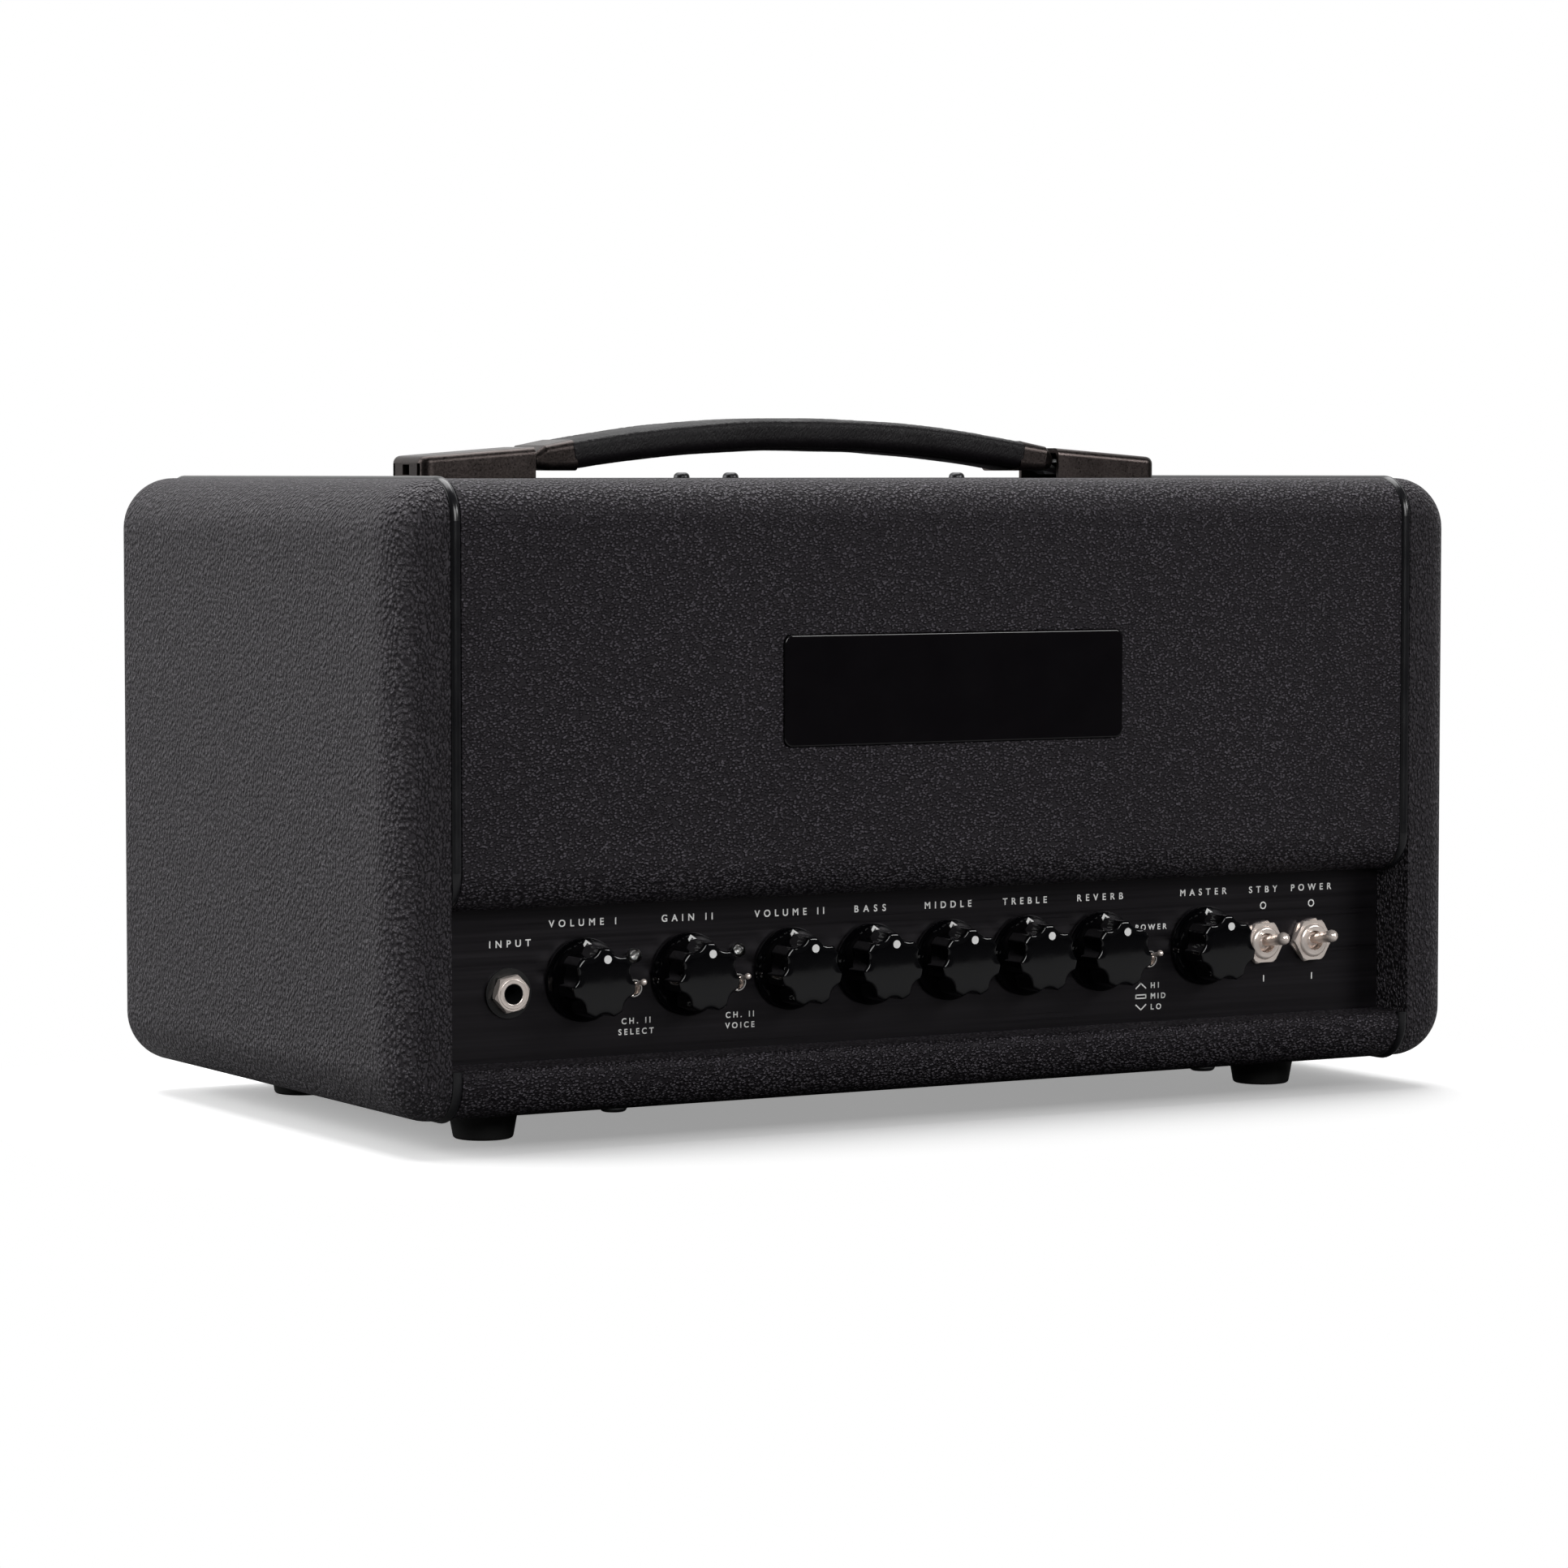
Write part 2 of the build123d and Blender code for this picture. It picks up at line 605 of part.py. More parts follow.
def mains_switches():
    """The standby and power switches, each with two stacked nuts and a bat lever that is up."""
    housing = block(-8.7, 8.7, -15, 15, -25, -PLATE_STACK)
    housing -= disc(MAINS_R, -PLATE_STACK - 6, 0)
    bushing = ring(MAINS_R, MAINS_BORE, -PLATE_STACK - 6, MAINS_OUT)
    outer_rim = bushing.edges().group_by(Axis.Z)[-1].sort_by(SortBy.LENGTH)[-1]
    bushing = fillet(outer_rim, 1.3)
    nuts = [nut(MAINS_NUT_AF, MAINS_R, 0, 1.2, 12), nut(MAINS_NUT_AF, MAINS_R, 1.3, 3.2, 0)]
    lever = bat(MAINS_PIVOT, MAINS_ARM, MAINS_BORE - 0.07, (1.6, MAINS_TIP_R), MAINS_TIP_R, MAINS_TILT)
    places = [at_front(x, KNOB_Z) for x in MAINS_SWITCHES.values()]
    for name, place in zip(MAINS_SWITCHES, places):
        write(f"lever_{name}", place * lever)
    write("mains_switch_bodies", *[place * housing for place in places])
    write("mains_switch_bushings", *[place * bushing for place in places])
    write("mains_switch_nuts", *[place * piece for place in places for piece in nuts])


def jack_body():
    """A 6.35 mm jack socket: a box behind the panel and a threaded sleeve through it."""
    body = block(-JACK_HALF, JACK_HALF, -JACK_HALF, JACK_HALF, -JACK_DEPTH, -PLATE_STACK)
    body += disc(JACK_SLEEVE_R, -PLATE_STACK - 1, JACK_OUT)
    return body - disc(JACK_BORE, 4 - JACK_DEPTH, JACK_OUT + 1)


def sockets_and_lamps():
    """The input socket, the two indicator lamps and the row of rear sockets."""
    place = at_front(INPUT_X, INPUT_Z)
    write("input_jack_body", place * jack_body())
    write("input_jack_washer", place * ring(8.3, JACK_SLEEVE_R + 0.05, 0, 1.0))
    write("input_jack_nut", place * nut(11.4, JACK_SLEEVE_R, 1.0, 4.5, 12))
    lamp = disc(LED_R, -6, LED_OUT) + Pos(0, 0, LED_OUT) * Sphere(LED_R)
    write("led_lenses", *[at_front(x, LED_Z) * lamp for x in LED_X])
    rear = [at_rear(x, REAR_Z) for x in REAR_JACK_X]
    write("rear_jack_bodies", *[spot * jack_body() for spot in rear])
    write("rear_jack_nuts", *[spot * nut(12.7, JACK_SLEEVE_R, 0, 2.6) for spot in rear])


# ---------------------------------------------------------------- chassis


def front_holes(slack):
    """The holes that the controls need in the faceplate and the chassis."""
    spots = [(x, KNOB_Z, POT_NECK_R) for x in KNOBS.values()]
    spots += [(x, MINI_Z, MINI_R) for x in MINI_SWITCHES.values()]
    spots += [(x, KNOB_Z, MAINS_R) for x in MAINS_SWITCHES.values()]
    spots += [(x, LED_Z, LED_R) for x in LED_X]
    spots += [(INPUT_X, INPUT_Z, JACK_SLEEVE_R)]
    return [at_front(x, z) * disc(radius + slack, -9, 2) for x, z, radius in spots]


def rear_holes(slack):
    """The holes for the rear sockets and the mains inlet."""
    holes = [at_rear(x, REAR_Z) * disc(JACK_SLEEVE_R + slack, -9, 2) for x in REAR_JACK_X]
    inlet = Rectangle(INLET_OUT[0] + 2 * slack, INLET_OUT[1] + 2 * slack)
    return holes + [at_rear(INLET_X, REAR_Z) * extrude(inlet, 9, both=True)]


def chassis():
    """The folded steel chassis, open below, with its two faceplates and four bolts."""
    x = CHASSIS_X
    y0, y1 = CHASSIS_FRONT_Y, REAR_STEEL_Y
    t = STEEL_T
    tray = block(-x, x, y0, y1, SHELF_Z, CHASSIS_TOP)
    tray -= block(t - x, x - t, y0 + t, y1 - t, SHELF_Z - 1, CHASSIS_TOP - t)
    tray += block(t - x, x - t, y0 + t, y0 + FLANGE[0], SHELF_Z, SHELF_Z + t)
    tray += block(t - x, x - t, y1 - FLANGE[1], y1 - t, SHELF_Z, SHELF_Z + t)
    for hole in front_holes(0.1) + rear_holes(0.1):
        tray -= hole
    for bolt_x, bolt_y in CHASSIS_BOLTS:
        tray -= Pos(bolt_x, bolt_y, SHELF_Z) * disc(BOLT_R, -3, 3)
    for valve_x, valve_y in POWER_VALVES:
        tray -= Pos(valve_x, valve_y, CHASSIS_TOP) * disc(OCTAL_HOLE_R, -3, 3)
    tray -= Pos(*PREAMP_VALVE, CHASSIS_TOP) * disc(NOVAL_HOLE_R, -3, 3)
    write("chassis_tray", tray)

    front = block(0.5 - INNER_X, INNER_X - 0.5, FACE_Y, y0, SHELF_Z, RECESS_TOP + 9)
    for hole in front_holes(0):
        front -= hole
    write("control_faceplate", front)
    rear = block(-x - 2, x + 2, y1, REAR_FACE_Y, SHELF_Z + 0.5, CHASSIS_TOP)
    for hole in rear_holes(0):
        rear -= hole
    write("rear_faceplate", rear)
    bolt = Rot(180, 0, 0) * screw(4.6, 2.6, BOLT_R, BOTTOM_T + 6)
    write("chassis_bolts", *[Pos(bx, by, FLOOR_Z) * bolt for bx, by in CHASSIS_BOLTS])


def mains_inlet():
    """The three-pin mains inlet, with its pins standing in the cavity."""
    rim_w, rim_h = INLET_OUT[0] + 4, INLET_OUT[1] + 4
    shell = extrude(RectangleRounded(rim_w, rim_h, 2), 3.0)
    shell += Pos(0, 0, -10) * Box(*INLET_OUT, 20)
    cavity = chamfer(Rectangle(*INLET_IN).vertices().sort_by(Axis.Y)[:2], 5.0)
    shell -= Pos(0, 0, -INLET_DEPTH) * extrude(cavity, 20)
    pins = [block(x - 1, x + 1, y - 2, y + 2, -INLET_DEPTH, -3.6) for x, y in PIN_PLACES]
    place = at_rear(INLET_X, REAR_Z)
    write("mains_inlet", place * shell, *[place * pin for pin in pins])


def valves():
    """Two power valves in octal sockets and one preamp valve."""
    glass_z = SOCKET_H + BASE_H
    bulb = turned((0, 0), (14.5, 0), (18.2, 9), (18.2, 50), (12.5, 62), (12.5, 70), (8, 74), (0, 74))
    bulb = fillet(bulb.edges().filter_by(GeomType.CIRCLE).group_by(Axis.Z)[1:-1][0], 2.0)
    spots = [Pos(x, y, CHASSIS_TOP) for x, y in POWER_VALVES]
    small_spot = Pos(*PREAMP_VALVE, CHASSIS_TOP)
    sockets = [spot * ring(17, 4.5, 0, SOCKET_H) for spot in spots]
    write("valve_sockets", *sockets, small_spot * ring(12, 3, 0, SOCKET_H))
    write("valve_bases", *[spot * disc(16.8, SOCKET_H, glass_z) for spot in spots])
    write("power_valves", *[spot * Pos(0, 0, glass_z) * bulb for spot in spots])
    small = disc(11.0, SOCKET_H, SOCKET_H + 44)
    small = fillet(small.edges().group_by(Axis.Z)[-1], 7.0) + cone(2.4, 0.6, SOCKET_H + 43, SOCKET_H + 50)
    write("preamp_valve", small_spot * small)


def power_parts():
    """The output transformer and the cased power supply, both on the chassis."""
    z0 = CHASSIS_TOP
    low, high = z0 + CORE_H[0], z0 + CORE_H[1]
    core = block(*CORE_X, *CORE_Y, low, high)
    for window in CORE_WINDOWS:
        core -= block(*window, CORE_Y[0] - 1, CORE_Y[1] + 1, low + 11, high - 11)
    coil = block(CORE_WINDOWS[0][0] + 0.2, CORE_WINDOWS[1][1] - 0.2, *COIL_Y, low + 11.2, high - 11.2)
    coil -= block(CORE_WINDOWS[0][1], CORE_WINDOWS[1][0], *CORE_Y, low + 11, high - 11)
    for y in (CORE_Y[0] + 2, CORE_Y[1] - 12):
        core += block(CORE_X[0] + 2, CORE_X[1] - 2, y, y + 10, z0, low)
    write("output_transformer", core, coil)
    case = block(*CASE_X, *CASE_Y, z0, z0 + CASE_H)
    case = fillet(case.edges().filter_by(Axis.Z), 2.0)
    for row in range(9):
        y = CASE_Y[0] + 14 + 12.5 * row
        case -= block(CASE_X[0] + 8, CASE_X[1] - 8, y, y + 4, z0 + CASE_H - 2, z0 + CASE_H + 1)
    write("power_supply", case)


def electronics():
    """The main circuit board under the chassis top and the larger parts on it."""
    z0 = SHELF_Z + BOARD_LIFT
    top = z0 + BOARD_T
    board = block(*BOARD_X, *BOARD_Y, z0, top)
    for x in (BOARD_X[0] + 10, BOARD_X[1] - 10):
        for y in (BOARD_Y[0] + 10, BOARD_Y[1] - 10):
            board -= Pos(x, y, z0) * disc(1.7, -1, 3)
    write("main_board", board)
    parts = [Pos(x, y, top) * disc(9, 0, 30) for x in (-110, -80) for y in (-30, 0)]
    parts += [Pos(x, 30, top) * disc(6.5, 0, 22) for x in (-120, -100, -80, -60)]
    parts += [block(x, x + 20, 10, 20, top, top + 15) for x in (-30, 0, 30)]
    parts += [block(x, x + 14, -34, -14, top, top + 4) for x in (-20, 10, 40, 70)]
    write("board_components", *parts)


os.makedirs("parts", exist_ok=True)
cabinet()
heat_shield()
rear_closing()
handle()
controls_with_shafts()
mini_switches()
mains_switches()
sockets_and_lamps()
chassis()
mains_inlet()
valves()
power_parts()
electronics()
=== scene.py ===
import json
import math

import bmesh
import bpy
from mathutils import Matrix, Vector, noise


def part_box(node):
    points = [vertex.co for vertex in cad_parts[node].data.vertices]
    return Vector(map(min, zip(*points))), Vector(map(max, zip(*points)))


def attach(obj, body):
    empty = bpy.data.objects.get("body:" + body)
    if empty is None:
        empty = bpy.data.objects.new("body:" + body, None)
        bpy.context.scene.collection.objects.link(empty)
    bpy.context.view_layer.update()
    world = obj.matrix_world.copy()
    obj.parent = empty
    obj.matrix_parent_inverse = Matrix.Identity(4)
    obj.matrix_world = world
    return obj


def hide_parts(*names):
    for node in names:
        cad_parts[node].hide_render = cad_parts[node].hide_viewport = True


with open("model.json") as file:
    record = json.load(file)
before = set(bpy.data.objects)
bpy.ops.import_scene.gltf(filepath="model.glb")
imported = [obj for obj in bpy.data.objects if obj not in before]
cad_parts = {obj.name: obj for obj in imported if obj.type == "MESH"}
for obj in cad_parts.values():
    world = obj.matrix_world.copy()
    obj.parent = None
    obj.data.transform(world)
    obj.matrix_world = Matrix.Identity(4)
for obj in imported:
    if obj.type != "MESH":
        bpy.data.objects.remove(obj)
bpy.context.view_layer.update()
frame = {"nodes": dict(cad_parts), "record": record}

# A valve guitar amplifier head on a pale studio floor. Metres, in the frame of the CAD model:
# X to the right seen from the front, Y to the back, Z up, with the floor at z = 0.

MM = 0.001
CAPITAL = 0.72  # the height of a capital in the font, as a share of its size
INK = 0.06 * MM  # the thickness of printed ink
BOLD = 0.05 * MM  # how far its strokes are spread on each side
WELD = 0.001 * MM  # vertices closer than this are one
LAYER = 0.002 * MM  # what keeps a letter's overlapping copies apart
STROKE_END = 0.7  # how far a drawn stroke runs past its ends, in half widths
NOISE_SPAN = (0.3, 0.7)  # where most of a noise's values lie
NODES = frame["nodes"]
JOINTS = {joint["name"]: joint for joint in frame["record"]["behaviour"]["joints"]}

MINI_SWITCHES = ["channel_select", "voice", "output_power"]
MAINS_SWITCHES = ["standby", "power"]
PANEL_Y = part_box("control_faceplate")[0].y
REAR_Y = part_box("rear_faceplate")[1].y

# The knobs, in mm where MM isn't named.
SKIRT = [(14.0, 1.7), (10.0, 5.4)]  # its slope, as (radius, height)
SKIRT_EDGE = 0.3  # the small roundings of its rim
ARROW = (13.4, 11.0, 1.6, 1.0)  # tip, foot, half spread and stroke
ARROW_STEPS = 8
FLUTES = 7
FLUTE_R = 5.6  # each flute is a groove of this radius
FLUTE_AT = 16.0  # whose centre is this far from the axis
FLUTE_PHASE = math.radians(90 + 180 / FLUTES)  # a lobe is at the top
LOBE_R = 12.1
LOBE_SOFT = 0.7  # how softly a lobe runs into a flute
KNOB_H = 16.4
FACE_ROUND = 1.0  # the round edge of the face
FACE_STEPS = 8
FACE_RINGS = (0.92, 0.8, 0.6, 0.4, 0.2)  # as shares of the face's radius
DOME = 0.35  # how much the face's middle stands out
GRIP_DRAFT = 0.97  # the grip's size at its face, as a share of its foot's
KNOB_TURNS = 210  # points around
DOT_AT = (0.8 * MM, 7.9 * MM)
DOT_R = 1.4 * MM
DOT_THICK = 0.08 * MM
DISC_STEPS = 28

# Small turned parts as (radius, height): the lamp's cup in lens radii and mm, the jack's rim in mm.
LAMP_CUP = [
    (0, -1.2),
    (0.28, -1.2),
    (0.36, -0.6),
    (0.34, -0.2),
    (0.30, -0.25),
    (0.22, -0.55),
    (0, -0.6),
]
CUP_STEPS = 20
JACK_RIM = [
    (3.27, -1.2),
    (3.27, -0.25),
    (3.45, 0.0),
    (3.6, 0.06),
    (4.8, 0.06),
    (5.0, 0.0),
    (5.02, -0.1),
]
RIM_STEPS = 48

# The printed labels: heights over the floor and widths in mm, by the control each one names.
LABEL_H = 2.47 * MM  # the height of a capital
SMALL_H = 2.1 * MM
KNOB_ROW = 73.0
INPUT_ROW = 67.1
ON_ROW = 40.9
OFF_RING = (1.35, 0.92)  # its outer and inner radius
KNOB_WORDS = {
    "volume_1": ("VOLUME I", 25.2),
    "gain_2": ("GAIN II", 19.5),
    "volume_2": ("VOLUME II", 27.2),
    "bass": ("BASS", 12.5),
    "middle": ("MIDDLE", 18.9),
    "treble": ("TREBLE", 18.2),
    "reverb": ("REVERB", 19.2),
    "master": ("MASTER", 19.9),
}
MAINS_WORDS = {"standby": ("STBY", 12.3), "power": ("POWER", 17.7)}
CHANNEL_WORDS = {"channel_select": ("SELECT", 13.3), "voice": ("VOICE", 11.3)}
POWER_SIGNS = [  # height, line, whether it is closed, word and width
    (40.8, [(-2.1, -0.9), (0, 0.9), (2.1, -0.9)], False, "HI", 3.4),
    (37.0, [(-2.1, -0.6), (2.1, -0.6), (2.1, 0.6), (-2.1, 0.6)], True, "MID", 6.2),
    (33.2, [(-2.1, 0.9), (0, -0.9), (2.1, 0.9)], False, "LO", 4.4),
]
REAR_ROW = 74.5
REAR_LINE = 3.5  # from one line to the next
REAR_LETTER = 1.95  # the width a letter takes
INLET_ROW = 77.5

# The leather grip: its arch is the CAD solid's, and the rest is how the leather lies.
GRIP_THICK = 12.0 * MM
GRIP_RISE = 7.6 * MM
GRIP_CLEAR = 0.25 * MM  # what it keeps from its neighbours at rest
GRIP_FULL = 0.99  # its height in the middle, as a share of GRIP_THICK
GRIP_TAPER = 0.09  # and how much less at its ends
GRIP_STEPS = 420  # along
GRIP_TURNS = 112  # around
GRIP_POWERS = ((0.30, 0.42), (0.55, 0.70))  # how square its section is above and below
SEAM_Y = 9.5 * MM  # the glued seam lines of the underside
SEAM_DEPTH = 0.5 * MM
SEAM_WIDTH = 0.6 * MM
CREASE_DEPTH = 0.13 * MM
CREASE_LEAN = 0.55  # how far a crease leans along the grip as it rises
CREASE_WAVES = (620, 90, 170)  # to the metre, along, across and up
CREASE_SHARP = 3.2
SWELL = 0.28 * MM
SWELL_WAVES = (55, 60, 60)
SWELL_REST = 0.3  # what keeps most of the swelling inward

# Studio: how bright the surround and the floor look to the object, and the lights.
BACKDROP_LIGHT = 0.85
ROOM_LIGHT = 0.05  # in front, where the camera stands
FLOOR_BOUNCE = (0.05, 0.30)  # past the table's front edge, and on the table
TABLE_EDGE = (-0.64, -0.60)
PAINTED_SHADE_GLOW = 0.32  # the share of plain glowing white in the floor's painted shade under the object
PAINTED_SHADE_FADE = (0.0, 0.11)  # metres from the object over which the painted shade fades into plain white
PAINTED_SHADE_HALF = (0.19, 0.09)  # half the width and depth of the floor's painted shade under the object
SOFTBOXES = [  # name, place, aim, size, power, and whether it lights the floor
    ("top_softbox", (0.05, 0.42, 1.6), (0, 0, 0.1), (1.8, 1.2), 32, True),
    ("front_softbox", (-0.35, -2.1, 0.95), (0, 0, 0.08), (1.3, 0.9), 24, False),
    ("right_softbox", (1.35, -1.7, 1.10), (0.1, 0, 0.08), (0.8, 0.6), 19, False),
    ("left_softbox", (-1.6, 0.9, 0.8), (0, 0, 0.12), (1.0, 1.0), 15, True),
]
FLOOR_HALF = 30.0
CAMERA_AT = (-0.9242, -1.6070, 0.2222)
CAMERA_TURN = math.radians(29.882)  # to the right of straight at the front
CAMERA_FALL = math.radians(3.475)  # below level
CAMERA_LENS = 118.52  # mm, on a sensor 36 mm wide


# ---------------------------------------------------------------- materials


class Look:
    """A procedural material, built node by node in the object's own coordinates."""

    def __init__(self, name):
        """Starts from the plain shader, with the object's coordinates at hand."""
        self.material = bpy.data.materials.new(name)
        self.material.use_nodes = True
        self.tree = self.material.node_tree
        self.shader = self.tree.nodes["Principled BSDF"]
        self.place = self.tree.nodes.new("ShaderNodeTexCoord").outputs["Object"]

    def plug(self, source, socket):
        """Links a socket, or sets a plain value on it."""
        if isinstance(source, bpy.types.NodeSocket):
            self.tree.links.new(source, socket)
        else:
            socket.default_value = source

    def node(self, kind, settings=None, **sockets):
        """A node with its settings and its inputs by name, with _ for a space."""
        made = self.tree.nodes.new(kind)
        for key, value in (settings or {}).items():
            setattr(made, key, value)
        for key, value in sockets.items():
            self.plug(value, made.inputs[key.replace("_", " ")])
        return made

    def set(self, **sockets):
        """The shader's own inputs, by name."""
        for key, value in sockets.items():
            self.plug(value, self.shader.inputs[key.replace("_", " ")])

    def stretched(self, x, y, z):
        """The object's coordinates, scaled unevenly."""
        return self.node("ShaderNodeMapping", Vector=self.place, Scale=(x, y, z)).outputs["Vector"]

    def slanted(self, turn, size):
        """The object's coordinates on axes turned by degrees, with a size for each axis."""
        angles = [math.radians(angle) for angle in turn]
        ends = {"Vector": self.place, "Rotation": angles, "Scale": size}
        made = self.node("ShaderNodeMapping", {"vector_type": "TEXTURE"}, **ends)
        return made.outputs["Vector"]

    def noise(self, scale, detail=3.0, rough=0.5, place=None):
        """Soft noise. The scale is in waves to the metre."""
        ends = {"Vector": place or self.place, "Scale": scale, "Detail": detail, "Roughness": rough}
        return self.node("ShaderNodeTexNoise", **ends).outputs["Fac"]

    def cells(self, scale, place, feature="F1"):
        """Rounded cells, by the distance to their middles or to their edges."""
        made = self.node("ShaderNodeTexVoronoi", {"feature": feature}, Vector=place, Scale=scale)
        return made.outputs["Distance"]

    def vectors(self, operation, *ends):
        """One sum on vectors."""
        made = self.node("ShaderNodeVectorMath", {"operation": operation})
        for end, socket in zip(ends, made.inputs):
            self.plug(end, socket)
        return made.outputs["Vector"]

    def shaken(self, amount, scale, place):
        """Coordinates pushed about by noise, so that a pattern isn't regular."""
        wave = self.node("ShaderNodeTexNoise", Vector=place, Scale=scale, Detail=2.0)
        push = self.node("ShaderNodeVectorMath", {"operation": "SCALE"}, Scale=amount)
        self.plug(wave.outputs["Color"], push.inputs[0])
        return self.vectors("ADD", place, push.outputs["Vector"])

    def range(self, value, low, high, to_low, to_high):
        """A value stretched from one range to another."""
        ends = {"From_Min": low, "From_Max": high, "To_Min": to_low, "To_Max": to_high}
        return self.node("ShaderNodeMapRange", Value=value, **ends).outputs["Result"]

    def math(self, operation, first, second):
        """One sum on two values."""
        made = self.node("ShaderNodeMath", {"operation": operation})
        self.plug(first, made.inputs[0])
        self.plug(second, made.inputs[1])
        return made.outputs["Value"]

    def plus(self, first, second, share):
        """A value and a share of another."""
        return self.math("ADD", first, self.math("MULTIPLY", second, share))

    def tint(self, factor, dark, light):
        """A colour between two, by a factor."""
        made = self.node("ShaderNodeMix", {"data_type": "RGBA"})
        self.plug(factor, made.inputs[0])
        self.plug((*dark, 1.0), made.inputs[6])
        self.plug((*light, 1.0), made.inputs[7])
        return made.outputs[2]

    def bump(self, height, depth, strength=1.0, under=None):
        """Relief of a given depth in metres, over another relief if there is one."""
        made = self.node("ShaderNodeBump", Height=height, Distance=depth, Strength=strength)
        if under is not None:
            self.plug(under, made.inputs["Normal"])
        return made.outputs["Normal"]


def vinyl(name, turn, size, depth, spread, light, shine):
    """Black embossed vinyl: small domed pebbles of uneven height in slanting rows, with painted
    highlights: their tops are painted paler and the hollows between them darker.

    The rows' turn is in degrees, the size is each axis's share of the plain pebble's, the spread
    is how fast a pebble falls away, and the light colour is the painted highlight on its top.
    """
    look = Look(name)
    rows = look.slanted(turn, size)
    distance = look.cells(1080, look.shaken(0.0003, 560, rows))
    slope = look.math("POWER", look.math("MULTIPLY", distance, spread), 2.0)
    dome = look.range(slope, 0.0, 1.0, 1.0, 0.0)
    uneven = look.range(look.noise(900, 2.0, 0.5), *NOISE_SPAN, 0.35, 1.0)
    height = look.math("MULTIPLY", dome, uneven)
    fine = look.noise(3200, 2.0)
    soft = look.noise(14, 3.0)
    # Painted highlight and shade: the pebbles' tops are painted paler, and the hollows between them
    # darker.
    tops = look.range(height, 0.30, 0.85, 0.0, 1.0)
    painted_highlight = look.math("MULTIPLY", tops, look.range(soft, *NOISE_SPAN, 0.8, 1.0))
    worn = look.plus(height, fine, 0.3)
    look.set(
        Base_Color=look.tint(painted_highlight, (0.0009, 0.0003, 0.0012), light),
        Roughness=look.range(worn, 0.1, 1.1, 0.66, 0.38),
        Normal=look.bump(fine, 0.00004, 0.3, under=look.bump(height, depth)),
        Specular_IOR_Level=shine,
        Specular_Tint=(0.98, 0.92, 1.0, 1.0),
    )
    return look.material


def leather(name):
    """Smooth black leather with fine creases."""
    look = Look(name)
    slant = look.slanted((0, 28, 0), (0.8, 1.0, 2.4))
    crease = look.cells(900, look.shaken(0.0015, 300, slant), "DISTANCE_TO_EDGE")
    pores = look.noise(3400, 2.0)
    swell = look.noise(70, 3.0)
    marks = look.bump(look.range(crease, 0.0, 0.2, 0.0, 1.0), 0.00012, 0.45)
    look.set(
        Base_Color=look.tint(swell, (0.0022, 0.0016, 0.0022), (0.0060, 0.0050, 0.0060)),
        Roughness=look.range(look.plus(swell, pores, 0.4), 0.3, 1.0, 0.34, 0.52),
        Normal=look.bump(pores, 0.00004, 0.4, under=marks),
        Specular_IOR_Level=0.18,
    )
    return look.material


def gloss(name, colour, rough, lift):
    """A glossy moulded plastic or lacquer with faint wipe marks."""
    look = Look(name)
    smear = look.noise(70, 4.0, 0.6)
    specks = look.noise(2200, 2.0)
    brighter = tuple(min(1.0, channel * 1.5 + lift) for channel in colour)
    look.set(
        Base_Color=look.tint(smear, colour, brighter),
        Roughness=look.range(look.plus(smear, specks, 0.2), 0.3, 0.9, *rough),
        Normal=look.bump(smear, 0.00012, 0.12),
    )
    return look.material


def moulded(name, colour, rough, grain=1500, depth=0.00004):
    """A matt moulded plastic, rubber or powder coat with a fine even grain."""
    look = Look(name)
    fine = look.noise(grain, 2.0)
    broad = look.noise(45, 4.0)
    lighter = tuple(min(1.0, channel * 1.45 + 0.006) for channel in colour)
    look.set(
        Base_Color=look.tint(look.math("MULTIPLY", broad, fine), colour, lighter),
        Roughness=look.range(broad, *NOISE_SPAN, *rough),
        Normal=look.bump(fine, depth, 0.5),
    )
    return look.material


def brushed_black(name):
    """The control faceplate: black anodised metal, brushed along X, under a thin gloss."""
    look = Look(name)
    hair = look.noise(900, 4.0, 0.6, look.stretched(0.012, 1.0, 1.0))
    broad = look.noise(300, 2.0, 0.5, look.stretched(0.02, 1.0, 1.0))
    smear = look.noise(30, 3.0)
    mixed = look.plus(look.math("MULTIPLY", hair, 0.7), broad, 0.3)
    lines = look.range(mixed, 0.35, 0.65, 0.0, 1.0)
    look.set(
        Base_Color=look.tint(lines, (0.0012, 0.0010, 0.0014), (0.0050, 0.0045, 0.0054)),
        Roughness=look.range(look.plus(mixed, smear, 0.3), 0.4, 0.9, 0.24, 0.40),
        Normal=look.bump(mixed, 0.00003, 0.25),
        Specular_IOR_Level=0.30,
        Specular_Tint=(0.99, 0.93, 1.0, 1.0),
    )
    return look.material


def plated(name, colour, rough, hammer=0.12, metal=1.0):
    """Plated metal with a slightly uneven, handled surface."""
    look = Look(name)
    cloud = look.noise(120, 4.0, 0.6)
    scratch = look.noise(1400, 3.0, 0.6, look.stretched(1.0, 0.06, 1.0))
    darker = tuple(channel * 0.78 for channel in colour)
    look.set(
        Base_Color=look.tint(cloud, darker, colour),
        Roughness=look.range(look.plus(cloud, scratch, 0.5), 0.4, 1.1, *rough),
        Normal=look.bump(scratch, 0.00001, 0.3, under=look.bump(cloud, 0.00025, hammer)),
        Metallic=metal,
    )
    return look.material


def hammered(name, colour):
    """Dull nickel with a fine hammered grain and darker specks."""
    look = Look(name)
    grain = look.noise(1500, 3.0, 0.6)
    broad = look.noise(60, 3.0)
    specks = look.range(look.math("ADD", grain, broad), 0.75, 1.15, 0.0, 1.0)
    darker = tuple(channel * 0.55 for channel in colour)
    look.set(
        Base_Color=look.tint(specks, darker, colour),
        Roughness=look.range(grain, *NOISE_SPAN, 0.26, 0.42),
        Normal=look.bump(grain, 0.00007, 0.6),
        Metallic=1.0,
    )
    return look.material


